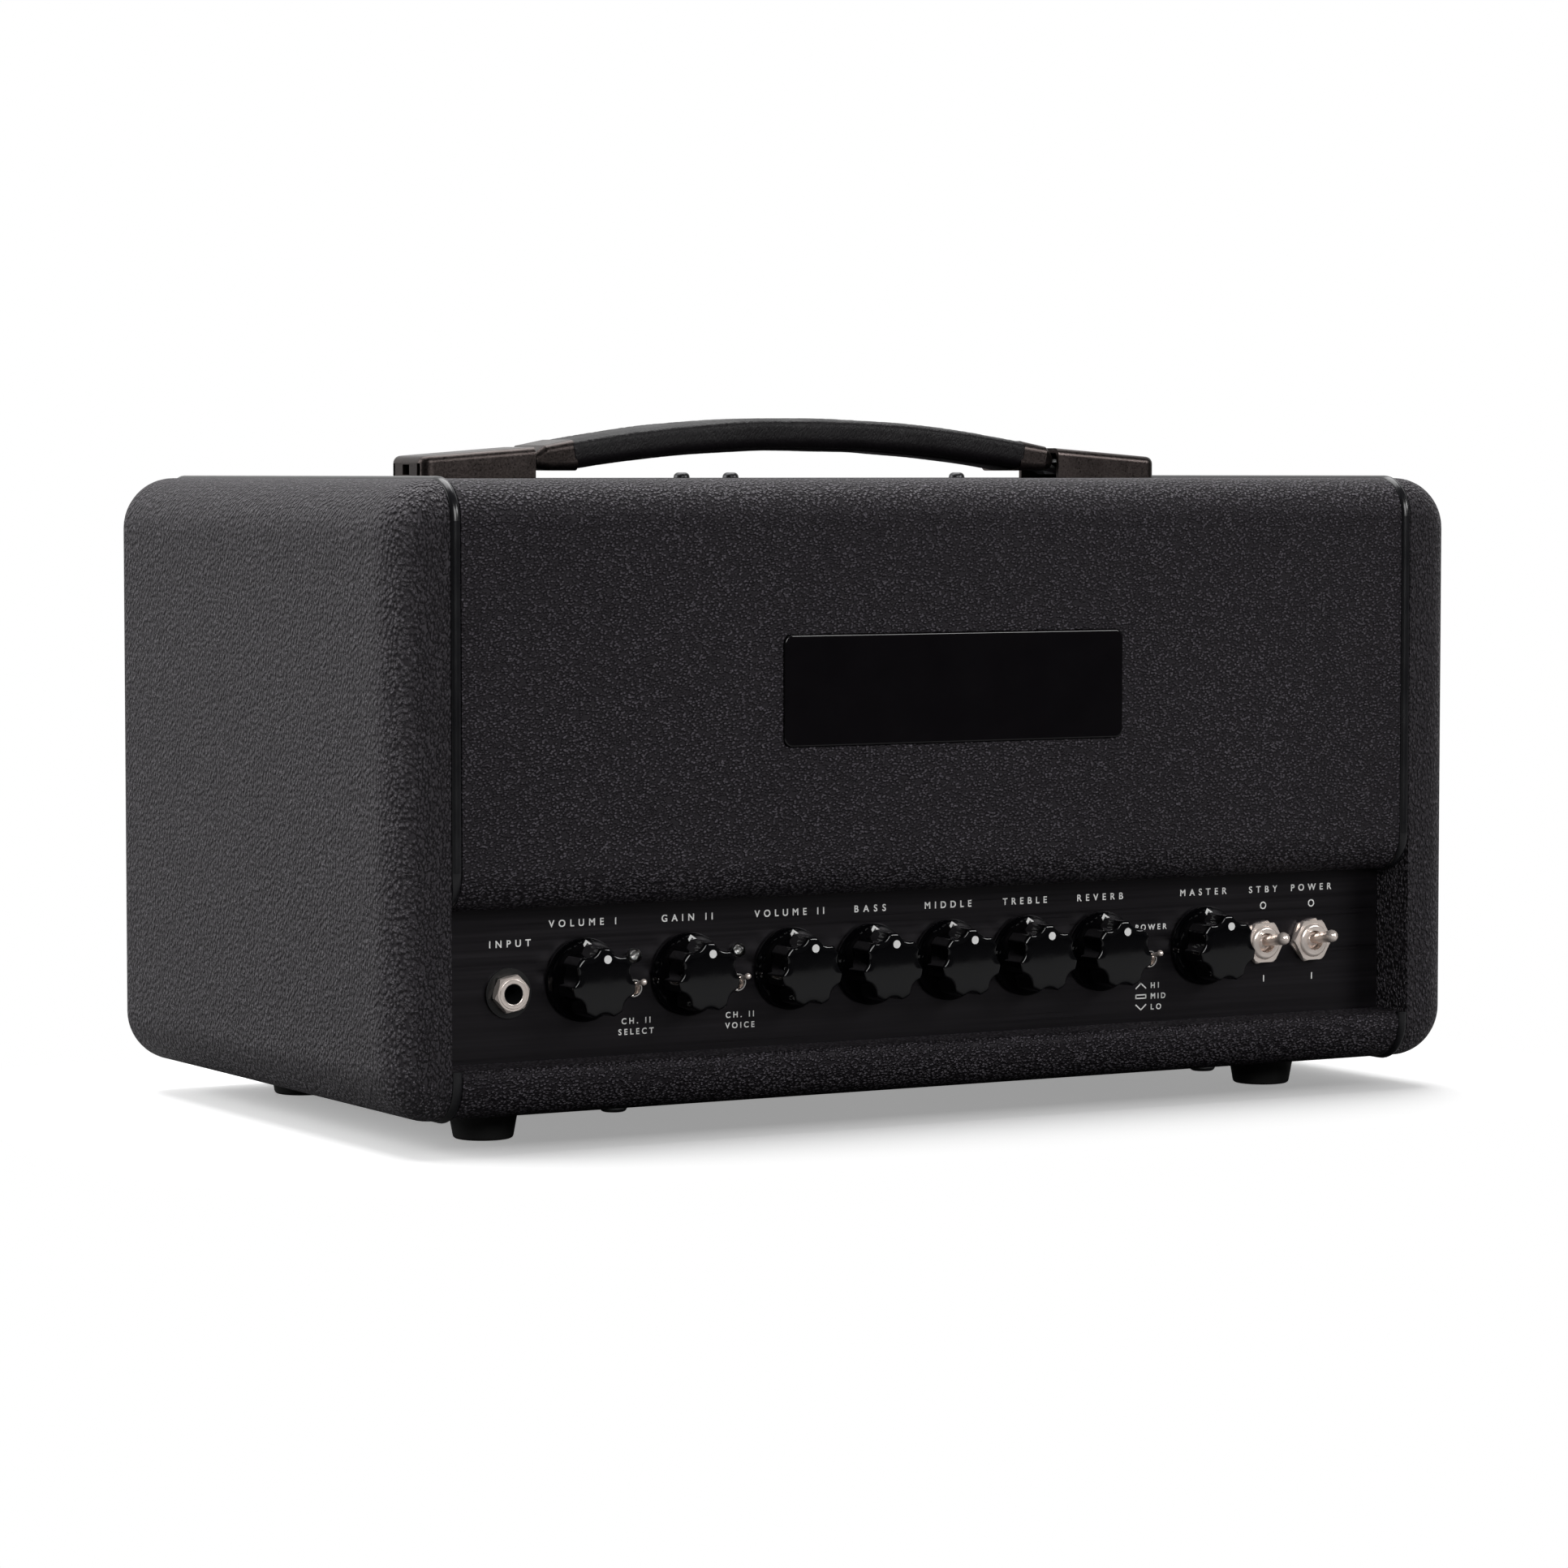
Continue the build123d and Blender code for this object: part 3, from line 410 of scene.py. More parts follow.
def plywood(name):
    """Bare plywood with its grain along Z."""
    look = Look(name)
    grain = look.noise(220, 5.0, 0.65, look.stretched(1.0, 1.0, 0.06))
    look.set(
        Base_Color=look.tint(grain, (0.33, 0.2, 0.1), (0.62, 0.45, 0.27)),
        Roughness=look.range(grain, *NOISE_SPAN, 0.55, 0.8),
        Normal=look.bump(grain, 0.0002, 0.5),
    )
    return look.material


def clear(name, colour, rough):
    """Clear glass or plastic with faint unevenness."""
    look = Look(name)
    wave = look.noise(90, 2.0)
    look.set(
        Base_Color=look.tint(wave, tuple(channel * 0.94 for channel in colour), colour),
        Roughness=look.range(wave, *NOISE_SPAN, rough, rough + 0.05),
        Normal=look.bump(wave, 0.0001, 0.15),
        Transmission_Weight=1.0,
        IOR=1.47,
    )
    return look.material


def board(name):
    """A green circuit board with paler tracks."""
    look = Look(name)
    track = look.cells(190, look.stretched(1.0, 1.0, 0.01))
    gap = look.range(track, 0.2, 0.35, 0.0, 1.0)
    look.set(
        Base_Color=look.tint(gap, (0.02, 0.16, 0.06), (0.01, 0.08, 0.03)),
        Roughness=look.range(look.noise(300), *NOISE_SPAN, 0.25, 0.45),
        Normal=look.bump(track, 0.00005, 0.5),
    )
    return look.material


def paint(name, colour):
    """Screen-printed ink, slightly uneven."""
    look = Look(name)
    speck = look.noise(2400, 2.0)
    look.set(
        Base_Color=look.tint(speck, tuple(channel * 0.86 for channel in colour), colour),
        Roughness=look.range(speck, *NOISE_SPAN, 0.42, 0.6),
        Normal=look.bump(speck, 0.00002, 0.3),
    )
    return look.material


LOOKS = {
    "vinyl_front": vinyl(
        "vinyl_front",
        turn=(0, -4, 0),
        size=(1.35, 1.2, 0.95),
        depth=0.00095,
        spread=1.5,
        light=(0.105, 0.096, 0.111),
        shine=0.34,
    ),
    "vinyl_side": vinyl(
        "vinyl_side",
        turn=(0, 0, 0),
        size=(1.1, 1.2, 1.8),
        depth=0.00340,
        spread=1.4,
        light=(0.11, 0.101, 0.115),
        shine=0.60,
    ),
    "leather": leather("grip_leather"),
    "piping": gloss("piping_gloss", (0.004, 0.004, 0.005), (0.16, 0.30), lift=0.002),
    "plate": gloss("nameplate_gloss", (0.0022, 0.0018, 0.0024), (0.05, 0.10), lift=0.001),
    "knob": gloss("knob_gloss", (0.0008, 0.0008, 0.0012), (0.04, 0.10), lift=0.0004),
    "panel": brushed_black("faceplate_brushed"),
    "nickel": plated("nickel_plate", (1.0, 0.89, 0.82), (0.12, 0.28), 0.05, 0.55),
    "satin_nickel": hammered("hammered_nickel", (0.064, 0.053, 0.050)),
    "chrome": plated("chrome_plate", (0.80, 0.77, 0.75), (0.06, 0.14), 0.04),
    "zinc": plated("zinc_plate", (0.72, 0.73, 0.74), (0.28, 0.45)),
    "aluminium": plated("aluminium_sheet", (0.78, 0.79, 0.8), (0.25, 0.4)),
    "laminations": plated("lamination_varnish", (0.16, 0.16, 0.17), (0.35, 0.5)),
    "rubber": moulded("rubber_black", (0.012, 0.012, 0.012), (0.6, 0.8)),
    "washer": moulded("washer_black", (0.0012, 0.0012, 0.0014), (0.25, 0.4)),
    "black_plastic": moulded("moulded_black", (0.010, 0.010, 0.011), (0.35, 0.5)),
    "black_steel": moulded("powder_coat_black", (0.012, 0.012, 0.013), (0.4, 0.55), 1100, 0.00006),
    "black_screw": plated("blackened_steel", (0.05, 0.05, 0.052), (0.25, 0.4)),
    "ceramic": moulded("glazed_ceramic", (0.7, 0.68, 0.62), (0.2, 0.35)),
    "component": moulded("component_sleeve", (0.02, 0.03, 0.08), (0.25, 0.4)),
    "plywood": plywood("bare_plywood_grain"),
    "lamp": clear("lamp_lens", (0.50, 0.49, 0.47), 0.20),
    "anode": plated("valve_anode", (0.20, 0.20, 0.21), (0.45, 0.6)),
    "mica": moulded("mica_disc", (0.35, 0.33, 0.28), (0.2, 0.35)),
    "glass": clear("valve_glass", (0.96, 0.97, 0.97), 0.01),
    "board": board("board_green"),
    "ink": paint("white_ink", (0.74, 0.74, 0.73)),
}

NODE_LOOKS = {
    "vinyl_front": ["front_panel", "top_panel", "bottom_panel"],
    "vinyl_side": ["side_panel_left", "side_panel_right"],
    "piping": ["piping_left", "piping_right"],
    "plate": ["nameplate"],
    "panel": ["control_faceplate"],
    "nickel": [
        "mains_switch_nuts",
        "mains_switch_bushings",
        "input_jack_nut",
        "rear_jack_nuts",
        "pot_nuts",
        *(f"lever_{name}" for name in MINI_SWITCHES + MAINS_SWITCHES),
    ],
    "chrome": ["mini_switch_bushings"],
    "satin_nickel": ["handle_cap_left", "handle_cap_right", "handle_ferrules"],
    "zinc": [
        "chassis_tray",
        "pot_bodies",
        "handle_strap",
        "handle_screws",
        "foot_screws",
        "chassis_bolts",
    ],
    "aluminium": ["heat_shield", "power_supply"],
    "laminations": ["output_transformer"],
    "rubber": ["rubber_feet"],
    "washer": ["input_jack_washer"],
    "black_plastic": [
        "input_jack_body",
        "rear_jack_bodies",
        "mains_inlet",
        "valve_bases",
        "mini_switch_bodies",
        "mains_switch_bodies",
    ],
    "black_steel": ["rear_faceplate", "rear_grille"],
    "black_screw": ["rear_grille_screws", "top_screws"],
    "ceramic": ["valve_sockets"],
    "component": ["board_components"],
    "plywood": ["rear_battens"],
    "lamp": ["led_lenses"],
    "glass": ["power_valves", "preamp_valve"],
    "board": ["main_board"],
}


def dress_nodes():
    """Gives every CAD node its finish."""
    for look, names in NODE_LOOKS.items():
        for name in names:
            for slot in NODES[name].material_slots:
                slot.material = LOOKS[look]


# ---------------------------------------------------------------- pieces


def piece(name, mesh, look, body):
    """A new object from a mesh, with its finish and its body."""
    made = bpy.data.objects.new(name, mesh)
    bpy.context.scene.collection.objects.link(made)
    mesh.materials.clear()
    mesh.materials.append(LOOKS[look])
    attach(made, body)
    return made


def from_bmesh(name, shape, smooth=True):
    """A mesh from a bmesh, with outward normals."""
    bmesh.ops.recalc_face_normals(shape, faces=shape.faces)
    for face in shape.faces:
        face.smooth = smooth
    mesh = bpy.data.meshes.new(name)
    shape.to_mesh(mesh)
    shape.free()
    return mesh


def circle(shape, radius, z, steps):
    """A ring of new vertices around Z."""
    angles = [2 * math.pi * step / steps for step in range(steps)]
    return [shape.verts.new((radius * math.cos(a), radius * math.sin(a), z)) for a in angles]


def bridge(shape, first, second):
    """Faces between two rings of vertices."""
    for step in range(len(first)):
        after = (step + 1) % len(first)
        shape.faces.new((first[step], first[after], second[after], second[step]))


def loft(name, rings):
    """A closed, smooth mesh through rings of points."""
    shape = bmesh.new()
    loops = [[shape.verts.new(point) for point in ring] for ring in rings]
    for first, second in zip(loops, loops[1:]):
        bridge(shape, first, second)
    shape.faces.new(loops[0])
    shape.faces.new(loops[-1])
    return from_bmesh(name, shape)


def lettering(text, height, width):
    """Flat bold lettering in the XY plane of a given width, in metres, centred on the origin."""

    def spaced(gap):
        """The letters at a spacing, as a mesh, and their width."""
        curve = bpy.data.curves.new("lettering", "FONT")
        curve.body = text
        curve.size = (height - 2 * BOLD) / CAPITAL
        curve.space_character = gap
        curve.extrude = INK / 2
        holder = bpy.data.objects.new("lettering", curve)
        mesh = bpy.data.meshes.new_from_object(holder)
        bpy.data.objects.remove(holder)
        bpy.data.curves.remove(curve)
        xs = [vertex.co.x for vertex in mesh.vertices]
        ys = [vertex.co.y for vertex in mesh.vertices]
        centre = Vector(((min(xs) + max(xs)) / 2, (min(ys) + max(ys)) / 2, 0))
        mesh.transform(Matrix.Translation(-centre))
        return mesh, max(xs) - min(xs)

    mesh, narrow = spaced(1.0)
    if len(text) > 1:
        wide = spaced(2.0)[1]
        mesh = spaced(1.0 + (width - 2 * BOLD - narrow) / (wide - narrow))[0]
    copies = []
    for index, (x, y) in enumerate([(-BOLD, -BOLD), (BOLD, -BOLD), (-BOLD, BOLD), (BOLD, BOLD)]):
        copies.append((mesh, Matrix.Translation((x, y, LAYER * index))))
    return joined("lettering", copies, keep=True)


def stroke_mesh(points, width, closed=False):
    """A flat stroke through points in the XY plane, as a mesh with a little thickness."""
    shape = bmesh.new()
    ends = points[1:] + points[:1] if closed else points[1:]
    for start, end in zip(points, ends):
        along = (Vector(end) - Vector(start)).normalized()
        across = Vector((-along.y, along.x)) * width / 2
        along = along * width / 2 * STROKE_END
        corners = [
            Vector(start) - along - across,
            Vector(end) + along - across,
            Vector(end) + along + across,
            Vector(start) - along + across,
        ]
        low = [shape.verts.new((*corner, -INK / 2)) for corner in corners]
        high = [shape.verts.new((*corner, INK / 2)) for corner in corners]
        shape.faces.new(low[::-1])
        shape.faces.new(high)
        bridge(shape, low, high)
    return from_bmesh("stroke", shape, smooth=False)


def disc_mesh(radius, thickness, inner=0.0):
    """A thin round plate, or a thin ring, in the XY plane."""
    shape = bmesh.new()
    rings = []
    for z in (-thickness / 2, thickness / 2):
        for r in ([radius, inner] if inner else [radius]):
            rings.append(circle(shape, r, z, DISC_STEPS))
    order = (0, 1, 3, 2, 0) if inner else (0, 1)
    if not inner:
        shape.faces.new(rings[0])
        shape.faces.new(rings[1])
    for first, second in zip(order, order[1:]):
        bridge(shape, rings[first], rings[second])
    return from_bmesh("disc", shape, smooth=False)


def on_front(x, z, lift=0.0):
    """The place of flat work on the control panel: X right, Y up, Z towards the player."""
    return Matrix.Translation((x, PANEL_Y - lift, z)) @ Matrix.Rotation(math.radians(90), 4, "X")


def on_rear(x, z, lift=0.0):
    """The place of flat work on the rear panel, read from behind."""
    turn = Matrix.Rotation(math.radians(180), 4, "Z") @ Matrix.Rotation(math.radians(90), 4, "X")
    return Matrix.Translation((x, REAR_Y + lift, z)) @ turn


def joined(name, parts, keep=False):
    """One mesh from many (mesh, place) pairs. The meshes are removed unless they are kept."""
    shape = bmesh.new()
    for source, place in parts:
        part = source.copy()
        part.transform(place)
        shape.from_mesh(part)
        bpy.data.meshes.remove(part)
        if not keep:
            bpy.data.meshes.remove(source)
    mesh = bpy.data.meshes.new(name)
    shape.to_mesh(mesh)
    shape.free()
    return mesh


def joint_place(name):
    """Where a joint's axis is, in metres."""
    return Vector(JOINTS[name]["pos_m"])


def mount_place(name):
    """Where a mount of the record is, in metres."""
    mounts = frame["record"]["mounts"]
    return Vector(next(mount["pos_m"] for mount in mounts if mount["name"] == name))


def middle(node):
    """The middle of a CAD node's box."""
    low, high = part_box(node)
    return (low + high) / 2


def panel_markings():
    """The white function labels of the front, all generic words."""
    parts = []

    def word(text, x, z, width, height=LABEL_H):
        """Adds a word, with its middle and its width in mm."""
        parts.append((lettering(text, height, width * MM), on_front(x * MM, z * MM, INK / 2)))

    def stroke(line, x, z, width, closed=False):
        """Adds a line drawn through points in mm about a place in mm."""
        mesh = stroke_mesh([(px * MM, pz * MM) for px, pz in line], width * MM, closed)
        parts.append((mesh, on_front(x * MM, z * MM, INK / 2)))

    for name, (text, width) in KNOB_WORDS.items():
        word(text, joint_place(f"{name}_turn").x / MM, KNOB_ROW, width)
    word("INPUT", middle("input_jack_nut").x / MM + 1.0, INPUT_ROW, 15.3)
    for name, (text, width) in MAINS_WORDS.items():
        x = joint_place(f"{name}_throw").x / MM + 1.1
        word(text, x, KNOB_ROW - 0.1, width)
        ring = disc_mesh(OFF_RING[0] * MM, INK, inner=OFF_RING[1] * MM)
        parts.append((ring, on_front(x * MM, INPUT_ROW * MM, INK / 2)))
        stroke([(0, -1.0), (0, 1.0)], x + 0.4, ON_ROW, 0.45)
    for name, (text, width) in CHANNEL_WORDS.items():
        x = joint_place(f"{name}_throw").x / MM + 1.2
        word("CH. II", x, 39.3, 10.9, SMALL_H)
        word(text, x, 35.7, width, SMALL_H)
    x = joint_place("output_power_throw").x / MM
    word("POWER", x + 1.2, 61.5, 13.2, SMALL_H)
    for z, line, closed, text, width in POWER_SIGNS:
        stroke(line, x - 3.0, z, 0.42, closed)
        word(text, x + 1.2 + width / 2, z, width, SMALL_H)
    mesh = joined("front_markings", parts)
    piece("front_markings", mesh, "ink", "cabinet")


def rear_markings():
    """White labels over the rear sockets."""
    parts = []
    for mount in frame["record"]["mounts"]:
        if mount["kind"] != "bore" or mount["axis"][1] <= 0:
            continue
        words = mount["name"].replace("output", "out").replace("effects_", "").upper().split("_")
        for line, text in enumerate(words):
            place = on_rear(mount["pos_m"][0], (REAR_ROW - REAR_LINE * line) * MM, INK / 2)
            parts.append((lettering(text, SMALL_H, REAR_LETTER * MM * len(text)), place))
    inlet = on_rear(middle("mains_inlet").x, INLET_ROW * MM, INK / 2)
    parts.append((lettering("MAINS IN", 2.4 * MM, 18 * MM), inlet))
    piece("rear_markings", joined("rear_markings", parts), "ink", "cabinet")


def knob_radius(angle):
    """The outline of a knob's grip: round lobes between hollow flutes, in mm."""
    pitch = 2 * math.pi / FLUTES
    away = (angle - FLUTE_PHASE + pitch / 2) % pitch - pitch / 2
    inside = FLUTE_R**2 - (FLUTE_AT * math.sin(away)) ** 2
    if inside <= 0:
        return LOBE_R
    hollow = FLUTE_AT * math.cos(away) - math.sqrt(inside)
    share = max(0.0, min(1.0, 0.5 + (LOBE_R - hollow) / (2 * LOBE_SOFT)))
    return LOBE_R * (1 - share) + hollow * share - LOBE_SOFT * share * (1 - share)


def fluted_knob():
    """A knob along Z: a conical skirt and a fluted grip, softly rounded at its domed face."""
    (skirt_r, skirt_z), (top_r, top_z) = SKIRT

    def crown(radius):
        """The height of the domed face at a radius."""
        return KNOB_H - DOME * (radius / LOBE_R) ** 2

    def edge(angle, turn):
        """A point of the face's round edge, turn running from the side to the face."""
        rim = knob_radius(angle) * GRIP_DRAFT
        inset = FACE_ROUND * (1 - math.cos(turn))
        return rim - inset, crown(rim) - FACE_ROUND * (1 - math.sin(turn))

    def inner(angle, share):
        """A point of the face, from its edge to its middle as share falls from 1 to 0."""
        rim = knob_radius(angle) * GRIP_DRAFT - FACE_ROUND
        round_rim = LOBE_R * GRIP_DRAFT - 2 * FACE_ROUND
        radius = share * (rim * share + round_rim * (1 - share))
        return radius, crown(radius)

    skirt = [
        (skirt_r - SKIRT_EDGE, 0.5),
        (skirt_r, 0.8),
        (skirt_r, skirt_z - SKIRT_EDGE),
        (skirt_r - 0.35, skirt_z + 0.25),
        (top_r + 0.15, top_z - 0.1),
    ]
    levels = [lambda angle, point=point: point for point in skirt]
    levels.append(lambda angle: (knob_radius(angle) * 1.004, top_z + 0.15))
    levels.append(lambda angle: (knob_radius(angle), top_z + 0.6))
    for step in range(FACE_STEPS + 1):
        levels.append(lambda angle, turn=math.pi / 2 * step / FACE_STEPS: edge(angle, turn))
    for share in FACE_RINGS:
        levels.append(lambda angle, share=share: inner(angle, share))
    rings = []
    for level in levels:
        ring = []
        for turn in range(KNOB_TURNS):
            angle = 2 * math.pi * turn / KNOB_TURNS
            r, z = level(angle)
            ring.append((r * math.cos(angle) * MM, r * math.sin(angle) * MM, z * MM))
        rings.append(ring)
    return loft("fluted_knob", rings)


def fluted_knobs():
    """The eight knobs, in place of the plainer CAD ones."""
    blank = fluted_knob()
    for name in KNOB_WORDS:
        centre = joint_place(f"{name}_turn")
        mesh = blank.copy()
        mesh.transform(on_front(centre.x, centre.z))
        knob = piece(f"fluted_knob_{name}", mesh, "knob", f"{name}_control")
        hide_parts(f"knob_{name}")
        knob_markings(name)


def skirt_arrow():
    """The printed arrow of a knob along Z, laid over the slopes of its skirt."""
    shape = bmesh.new()

    def height(radius):
        """The skirt's height at a radius."""
        for (r0, z0), (r1, z1) in zip(SKIRT, SKIRT[1:]):
            if r1 <= radius <= r0:
                return z1 + (z0 - z1) * (radius - r1) / (r0 - r1)
        return SKIRT[0][1]

    tip, foot, spread, stroke = ARROW
    for side in (-1, 1):
        grid = []
        for step in range(ARROW_STEPS + 1):
            share = step / ARROW_STEPS
            row = []
            for edge in (0, 1 / 3, 2 / 3, 1):
                x = side * spread * (1 - share)
                y = foot + (tip - stroke - foot) * share + stroke * edge
                z = height(math.hypot(x, y))
                row.append(shape.verts.new((x * MM, y * MM, z * MM + INK)))
            grid.append(row)
        for first, second in zip(grid, grid[1:]):
            for index in range(3):
                corners = (first[index], first[index + 1], second[index + 1], second[index])
                shape.faces.new(corners if side < 0 else corners[::-1])
    return from_bmesh("arrow", shape)


def knob_markings(name):
    """The white arrow on a knob's skirt and the white dot on its face."""
    centre = joint_place(f"{name}_turn")
    dot_lift = PANEL_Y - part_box(f"knob_{name}")[0].y + DOT_THICK / 4
    dot_x, dot_z = DOT_AT
    parts = [
        (skirt_arrow(), on_front(centre.x, centre.z)),
        (disc_mesh(DOT_R, DOT_THICK), on_front(centre.x + dot_x, centre.z + dot_z, dot_lift)),
    ]
    piece(f"knob_marks_{name}", joined("knob_marks", parts), "ink", f"{name}_control")


def islands(node):
    """The boxes of the separate solids of a CAD node, from left to right."""
    shape = bmesh.new()
    shape.from_mesh(NODES[node].data)
    bmesh.ops.remove_doubles(shape, verts=shape.verts, dist=WELD)
    left = set(shape.verts)
    boxes = []
    while left:
        seed = left.pop()
        found = [seed]
        waiting = [seed]
        while waiting:
            vertex = waiting.pop()
            for edge in vertex.link_edges:
                other = edge.other_vert(vertex)
                if other in left:
                    left.discard(other)
                    found.append(other)
                    waiting.append(other)
        lows = Vector([min(vertex.co[axis] for vertex in found) for axis in range(3)])
        highs = Vector([max(vertex.co[axis] for vertex in found) for axis in range(3)])
        boxes.append((lows, highs))
    shape.free()
    return sorted(boxes, key=lambda box: (box[0].x, box[0].z))


def lathe(profile, steps=32):
    """A mesh turned about Z from (radius, z) points, closed where the radius is zero."""
    shape = bmesh.new()
    rings = []
    for radius, z in profile:
        tip = radius == 0
        rings.append([shape.verts.new((0, 0, z))] if tip else circle(shape, radius, z, steps))
    for first, second in zip(rings, rings[1:]):
        if len(first) == len(second):
            bridge(shape, first, second)
            continue
        for step in range(steps):
            after = (step + 1) % steps
            if len(first) == 1:
                shape.faces.new((first[0], second[step], second[after]))
            else:
                shape.faces.new((first[step], first[after], second[0]))
    return from_bmesh("lathe", shape)


def rounded_box(size, round_edge):
    """A box centred on the origin with rounded edges."""
    shape = bmesh.new()
    bmesh.ops.create_cube(shape, size=1.0)
    bmesh.ops.scale(shape, vec=size, verts=shape.verts)
    settings = {"offset": round_edge, "segments": 3, "profile": 0.5, "affect": "EDGES"}
    bmesh.ops.bevel(shape, geom=shape.edges[:], **settings)
    return from_bmesh("rounded_box", shape)


def lamp_cores():
    """Inside each indicator lens: the little reflector cup, on its two legs."""
    parts = []
    for low, high in islands("led_lenses"):
        centre = (low + high) / 2
        radius = (high.x - low.x) / 2
        front = on_front(centre.x, centre.z)
        cup = lathe([(r * radius, z * MM) for r, z in LAMP_CUP], CUP_STEPS)
        parts.append((cup, front @ Matrix.Translation((0.12 * radius, 0, 0.9 * MM))))
        for side in (-1, 1):
            leg = rounded_box((0.5 * MM, 0.5 * MM, 2.4 * MM), 0.1 * MM)
            parts.append((leg, front @ Matrix.Translation((side * 0.5 * radius, 0, -1.4 * MM))))
    piece("lamp_cores", joined("lamp_cores", parts), "zinc", "cabinet")


def jack_rim():
    """The bright mouth of the input jack's bushing, with its rolled inner edge."""
    centre = mount_place("input_socket")
    mesh = lathe([(r * MM, z * MM) for r, z in JACK_RIM], RIM_STEPS)
    mesh.transform(on_front(centre.x, centre.z, PANEL_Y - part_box("input_jack_body")[0].y))
    piece("input_jack_rim", mesh, "nickel", "cabinet")


def valve_internals():
    """The grey anodes of the three valves, between mica discs, with a getter ring above."""
    anodes = []
    micas = []
    for node in ("power_valves", "preamp_valve"):
        for low, high in islands(node):
            centre = (low + high) / 2
            radius = (high.x - low.x) / 2
            height = high.z - low.z
            size = (radius * 1.25, radius * 0.75, height * 0.5)
            anodes.append((rounded_box(size, radius * 0.12), Matrix.Translation(centre)))
            fin = rounded_box((radius * 1.55, radius * 0.06, height * 0.48), radius * 0.02)
            anodes.append((fin, Matrix.Translation(centre)))
            ring = lathe([(0.30, 0), (0.34, 0.03), (0.38, 0), (0.34, -0.03), (0.30, 0)])
            ring.transform(Matrix.Scale(radius, 4))
            anodes.append((ring, Matrix.Translation(centre + Vector((0, 0, height * 0.36)))))
            for side in (-1, 1):
                disc = lathe([(0, 0), (radius * 0.84, 0), (radius * 0.84, 0.5 * MM), (0, 0.5 * MM)])
                place = centre + Vector((0, 0, side * height * 0.27))
                micas.append((disc, Matrix.Translation(place)))
    piece("valve_anodes", joined("valve_anodes", anodes), "anode", "cabinet")
    piece("valve_micas", joined("valve_micas", micas), "mica", "cabinet")


def leather_grip():
    """The padded leather of the handle: an arched sleeve, creased across, with seams below."""
    low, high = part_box("handle_grip")
    half = high.x
    radius = (half**2 + GRIP_RISE**2) / (2 * GRIP_RISE)
    centre_z = high.z - GRIP_THICK / 2 - radius
    half_width = (high.y - low.y) / 2 - GRIP_CLEAR
    end_angle = math.asin((half - GRIP_CLEAR) / radius)
    rings = []
    for step in range(GRIP_STEPS + 1):
        share = 2 * step / GRIP_STEPS - 1
        angle = share * end_angle
        tall = GRIP_THICK * (GRIP_FULL - GRIP_TAPER * share**2)
        ring = []
        for turn in range(GRIP_TURNS):
            around = 2 * math.pi * turn / GRIP_TURNS
            across, up = math.cos(around), math.sin(around)
            side_power, top_power = GRIP_POWERS[0 if up > 0 else 1]
            y = math.copysign(abs(across) ** side_power, across) * half_width
            z = math.copysign(abs(up) ** top_power, up) * tall / 2
            if up < 0:
                z += SEAM_DEPTH * math.exp(-(((abs(y) - SEAM_Y) / SEAM_WIDTH) ** 2))
            place = Vector((angle * radius, y, z))
            out = Vector((0, y * 0.35, z)).normalized()
            place += out * leather_relief(place, up)
            r = radius + place.z
            ring.append((r * math.sin(angle), place.y, centre_z + r * math.cos(angle)))
        rings.append(ring)
    grip = piece("leather_grip", loft("leather_grip", rings), "leather", "handle")
    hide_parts("handle_grip")


def leather_relief(place, up):
    """How far the leather stands out at a place along, across and up the grip.

    It has slanting creases, worn deepest on top, and a soft swelling.
    """
    lean = place.x + CREASE_LEAN * place.z
    waves = zip((lean, place.y, place.z), CREASE_WAVES)
    crease = 1 - abs(noise.noise(Vector([at * wave for at, wave in waves]))) * CREASE_SHARP
    worn = 0.35 + 0.65 * max(0.0, min(1.0, 0.5 + up))
    swell = noise.noise(Vector([at * wave for at, wave in zip(place, SWELL_WAVES)]))
    return SWELL * (swell - SWELL_REST) - CREASE_DEPTH * worn * max(0.0, crease)


# ---------------------------------------------------------------- studio


def studio_floor():
    """The plain floor, at z = 0."""
    mesh = bpy.data.meshes.new("studio_floor")
    corners = [(-1, -1), (1, -1), (1, 1), (-1, 1)]
    mesh.from_pydata([(x * FLOOR_HALF, y * FLOOR_HALF, 0) for x, y in corners], [], [(0, 1, 2, 3)])
    floor_object = bpy.data.objects.new("studio_floor", mesh)
    bpy.context.scene.collection.objects.link(floor_object)
    mesh.materials.append(floor_paint())
    return floor_object


def surround():
    """The world: white to the camera, and to the object bright behind and dim in front."""
    world = bpy.data.worlds.new("studio")
    bpy.context.scene.world = world
    world.use_nodes = True
    tree = world.node_tree
    seen = tree.nodes.new("ShaderNodeLightPath").outputs["Is Camera Ray"]
    direction = tree.nodes.new("ShaderNodeSeparateXYZ")
    towards = tree.nodes.new("ShaderNodeTexCoord").outputs["Generated"]
    tree.links.new(towards, direction.inputs["Vector"])
    behind = tree.nodes.new("ShaderNodeMapRange")
    behind.interpolation_type = "SMOOTHSTEP"
    ends = {"From Min": -0.1, "From Max": 0.4, "To Min": ROOM_LIGHT, "To Max": BACKDROP_LIGHT}
    for key, value in ends.items():
        behind.inputs[key].default_value = value
    tree.links.new(direction.outputs["Y"], behind.inputs["Value"])
    level = tree.nodes.new("ShaderNodeMapRange")
    level.inputs["To Max"].default_value = 1.0
    tree.links.new(behind.outputs["Result"], level.inputs["To Min"])
    tree.links.new(seen, level.inputs["Value"])
    background = tree.nodes["Background"]
    tree.links.new(level.outputs["Result"], background.inputs["Strength"])
    background.inputs["Color"].default_value = (1.0, 1.0, 1.0, 1.0)


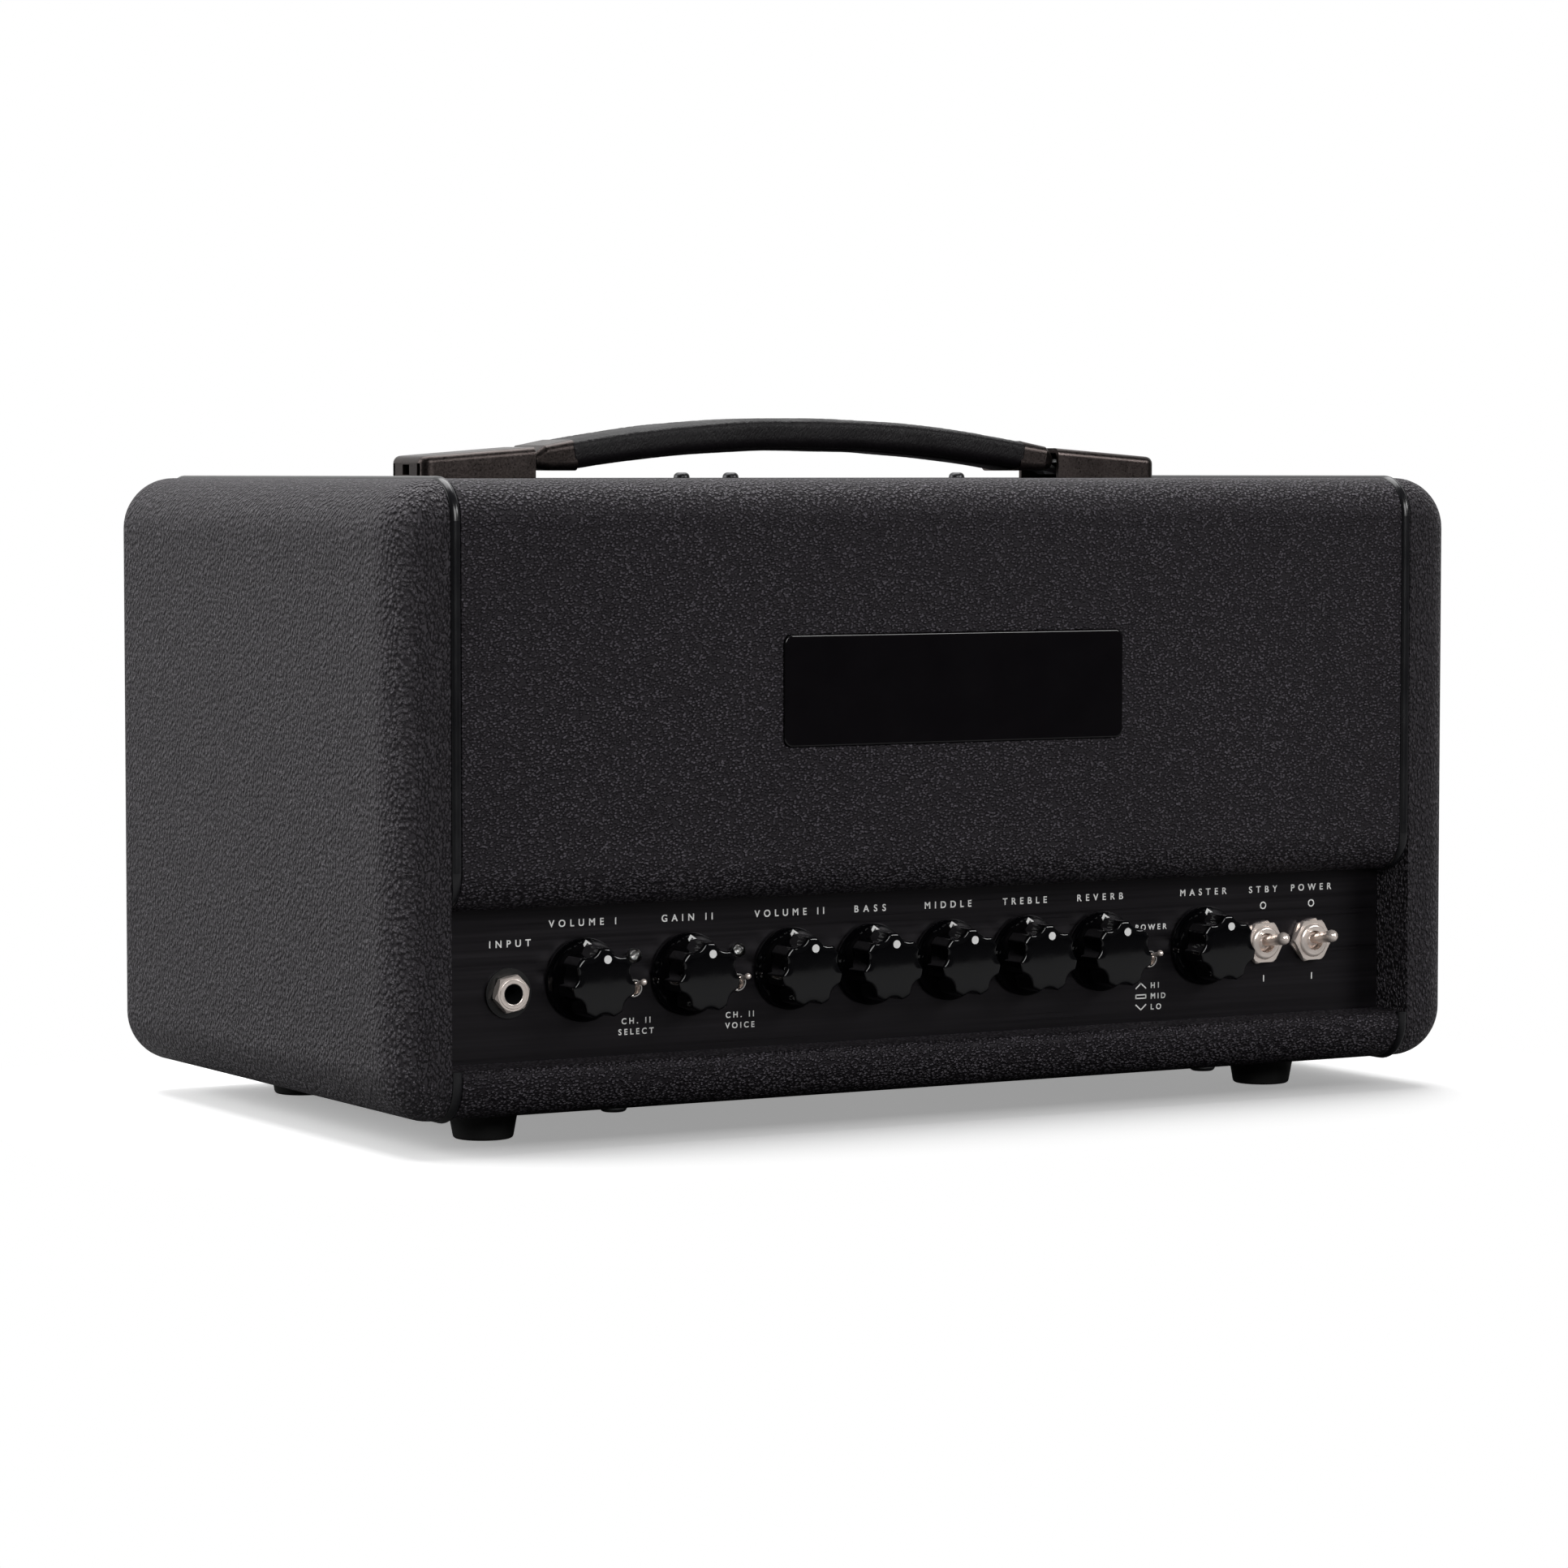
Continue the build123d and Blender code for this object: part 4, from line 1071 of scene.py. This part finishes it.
def softboxes(floor):
    """The lights. The front ones leave the floor out, so that they cast no second shadow."""
    object_only = bpy.data.collections.new("lit_by_front_lights")
    object_only.objects.link(floor)
    object_only.collection_objects[0].light_linking.link_state = "EXCLUDE"
    for name, place, aim, size, power, on_floor in SOFTBOXES:
        lamp = bpy.data.lights.new(name, "AREA")
        lamp.shape = "RECTANGLE"
        lamp.size, lamp.size_y = size
        lamp.energy = power
        made = bpy.data.objects.new(name, lamp)
        made.location = place
        made.rotation_mode = "QUATERNION"
        made.rotation_quaternion = (Vector(aim) - Vector(place)).to_track_quat("-Z", "Y")
        bpy.context.scene.collection.objects.link(made)
        if not on_floor:
            made.light_linking.receiver_collection = object_only
    bpy.context.scene.view_settings.view_transform = "Standard"


def floor_paint():
    """The floor's white: to the camera it glows plain white, except for a painted shade under the
    object, where its shadow shows and fades into the white over a short distance.

    To the object it is a dim table with a front edge, so that its gloss stays black.
    """
    look = Look("studio_floor_paint")
    tree = look.tree

    def mixed(factor, first, second):
        """A mix of two shaders."""
        made = look.node("ShaderNodeMixShader")
        for end, socket in zip((factor, first, second), made.inputs):
            tree.links.new(end, socket)
        return made.outputs[0]

    # Painted shade: under the object the floor's glow is held back so that its shadow shows there,
    # and the glow comes back over a short distance.
    outside = look.vectors("ABSOLUTE", look.place)
    outside = look.vectors("SUBTRACT", outside, (*PAINTED_SHADE_HALF, 0.0))
    outside = look.vectors("MAXIMUM", outside, (0.0, 0.0, 0.0))
    distance = look.node("ShaderNodeVectorMath", {"operation": "LENGTH"}, Vector=outside)
    white_past_painted_shade = look.range(distance.outputs["Value"], *PAINTED_SHADE_FADE, PAINTED_SHADE_GLOW, 1.0)
    cloud = look.noise(0.7, 2.0)
    seen = look.node("ShaderNodeLightPath").outputs["Is Camera Ray"]
    look.set(
        Base_Color=look.tint(cloud, (0.93, 0.93, 0.93), (0.95, 0.95, 0.95)),
        Roughness=look.range(cloud, *NOISE_SPAN, 0.8, 0.9),
        Specular_IOR_Level=0.0,
    )
    glow = look.node("ShaderNodeEmission", Color=(1.0, 1.0, 1.0, 1.0), Strength=1.0)
    along = look.node("ShaderNodeSeparateXYZ", Vector=look.place).outputs["Y"]
    table = look.range(along, *TABLE_EDGE, *FLOOR_BOUNCE)
    grey = look.node("ShaderNodeCombineColor", Red=table, Green=table, Blue=table)
    dim = look.node("ShaderNodeBsdfDiffuse", Color=grey.outputs["Color"])
    bright = look.node("ShaderNodeAddShader")
    for socket in bright.inputs:
        tree.links.new(look.shader.outputs[0], socket)
    white = mixed(white_past_painted_shade, bright.outputs[0], glow.outputs[0])
    both = mixed(seen, dim.outputs[0], white)
    tree.links.new(both, tree.nodes["Material Output"].inputs["Surface"])
    return look.material


def camera():
    """The view: a long lens, to the left of the front and a little above."""
    lens = bpy.data.cameras.new("camera")
    lens.sensor_width = 36.0
    lens.lens = CAMERA_LENS
    lens.clip_end = 2 * FLOOR_HALF
    made = bpy.data.objects.new("camera", lens)
    made.location = CAMERA_AT
    level = math.cos(CAMERA_FALL)
    ahead = (math.sin(CAMERA_TURN) * level, math.cos(CAMERA_TURN) * level, -math.sin(CAMERA_FALL))
    made.rotation_mode = "QUATERNION"
    made.rotation_quaternion = Vector(ahead).to_track_quat("-Z", "Y")
    bpy.context.scene.collection.objects.link(made)
    bpy.context.scene.camera = made


camera()
floor = studio_floor()
surround()
softboxes(floor)
dress_nodes()
panel_markings()
rear_markings()
lamp_cores()
jack_rim()
valve_internals()
leather_grip()
fluted_knobs()
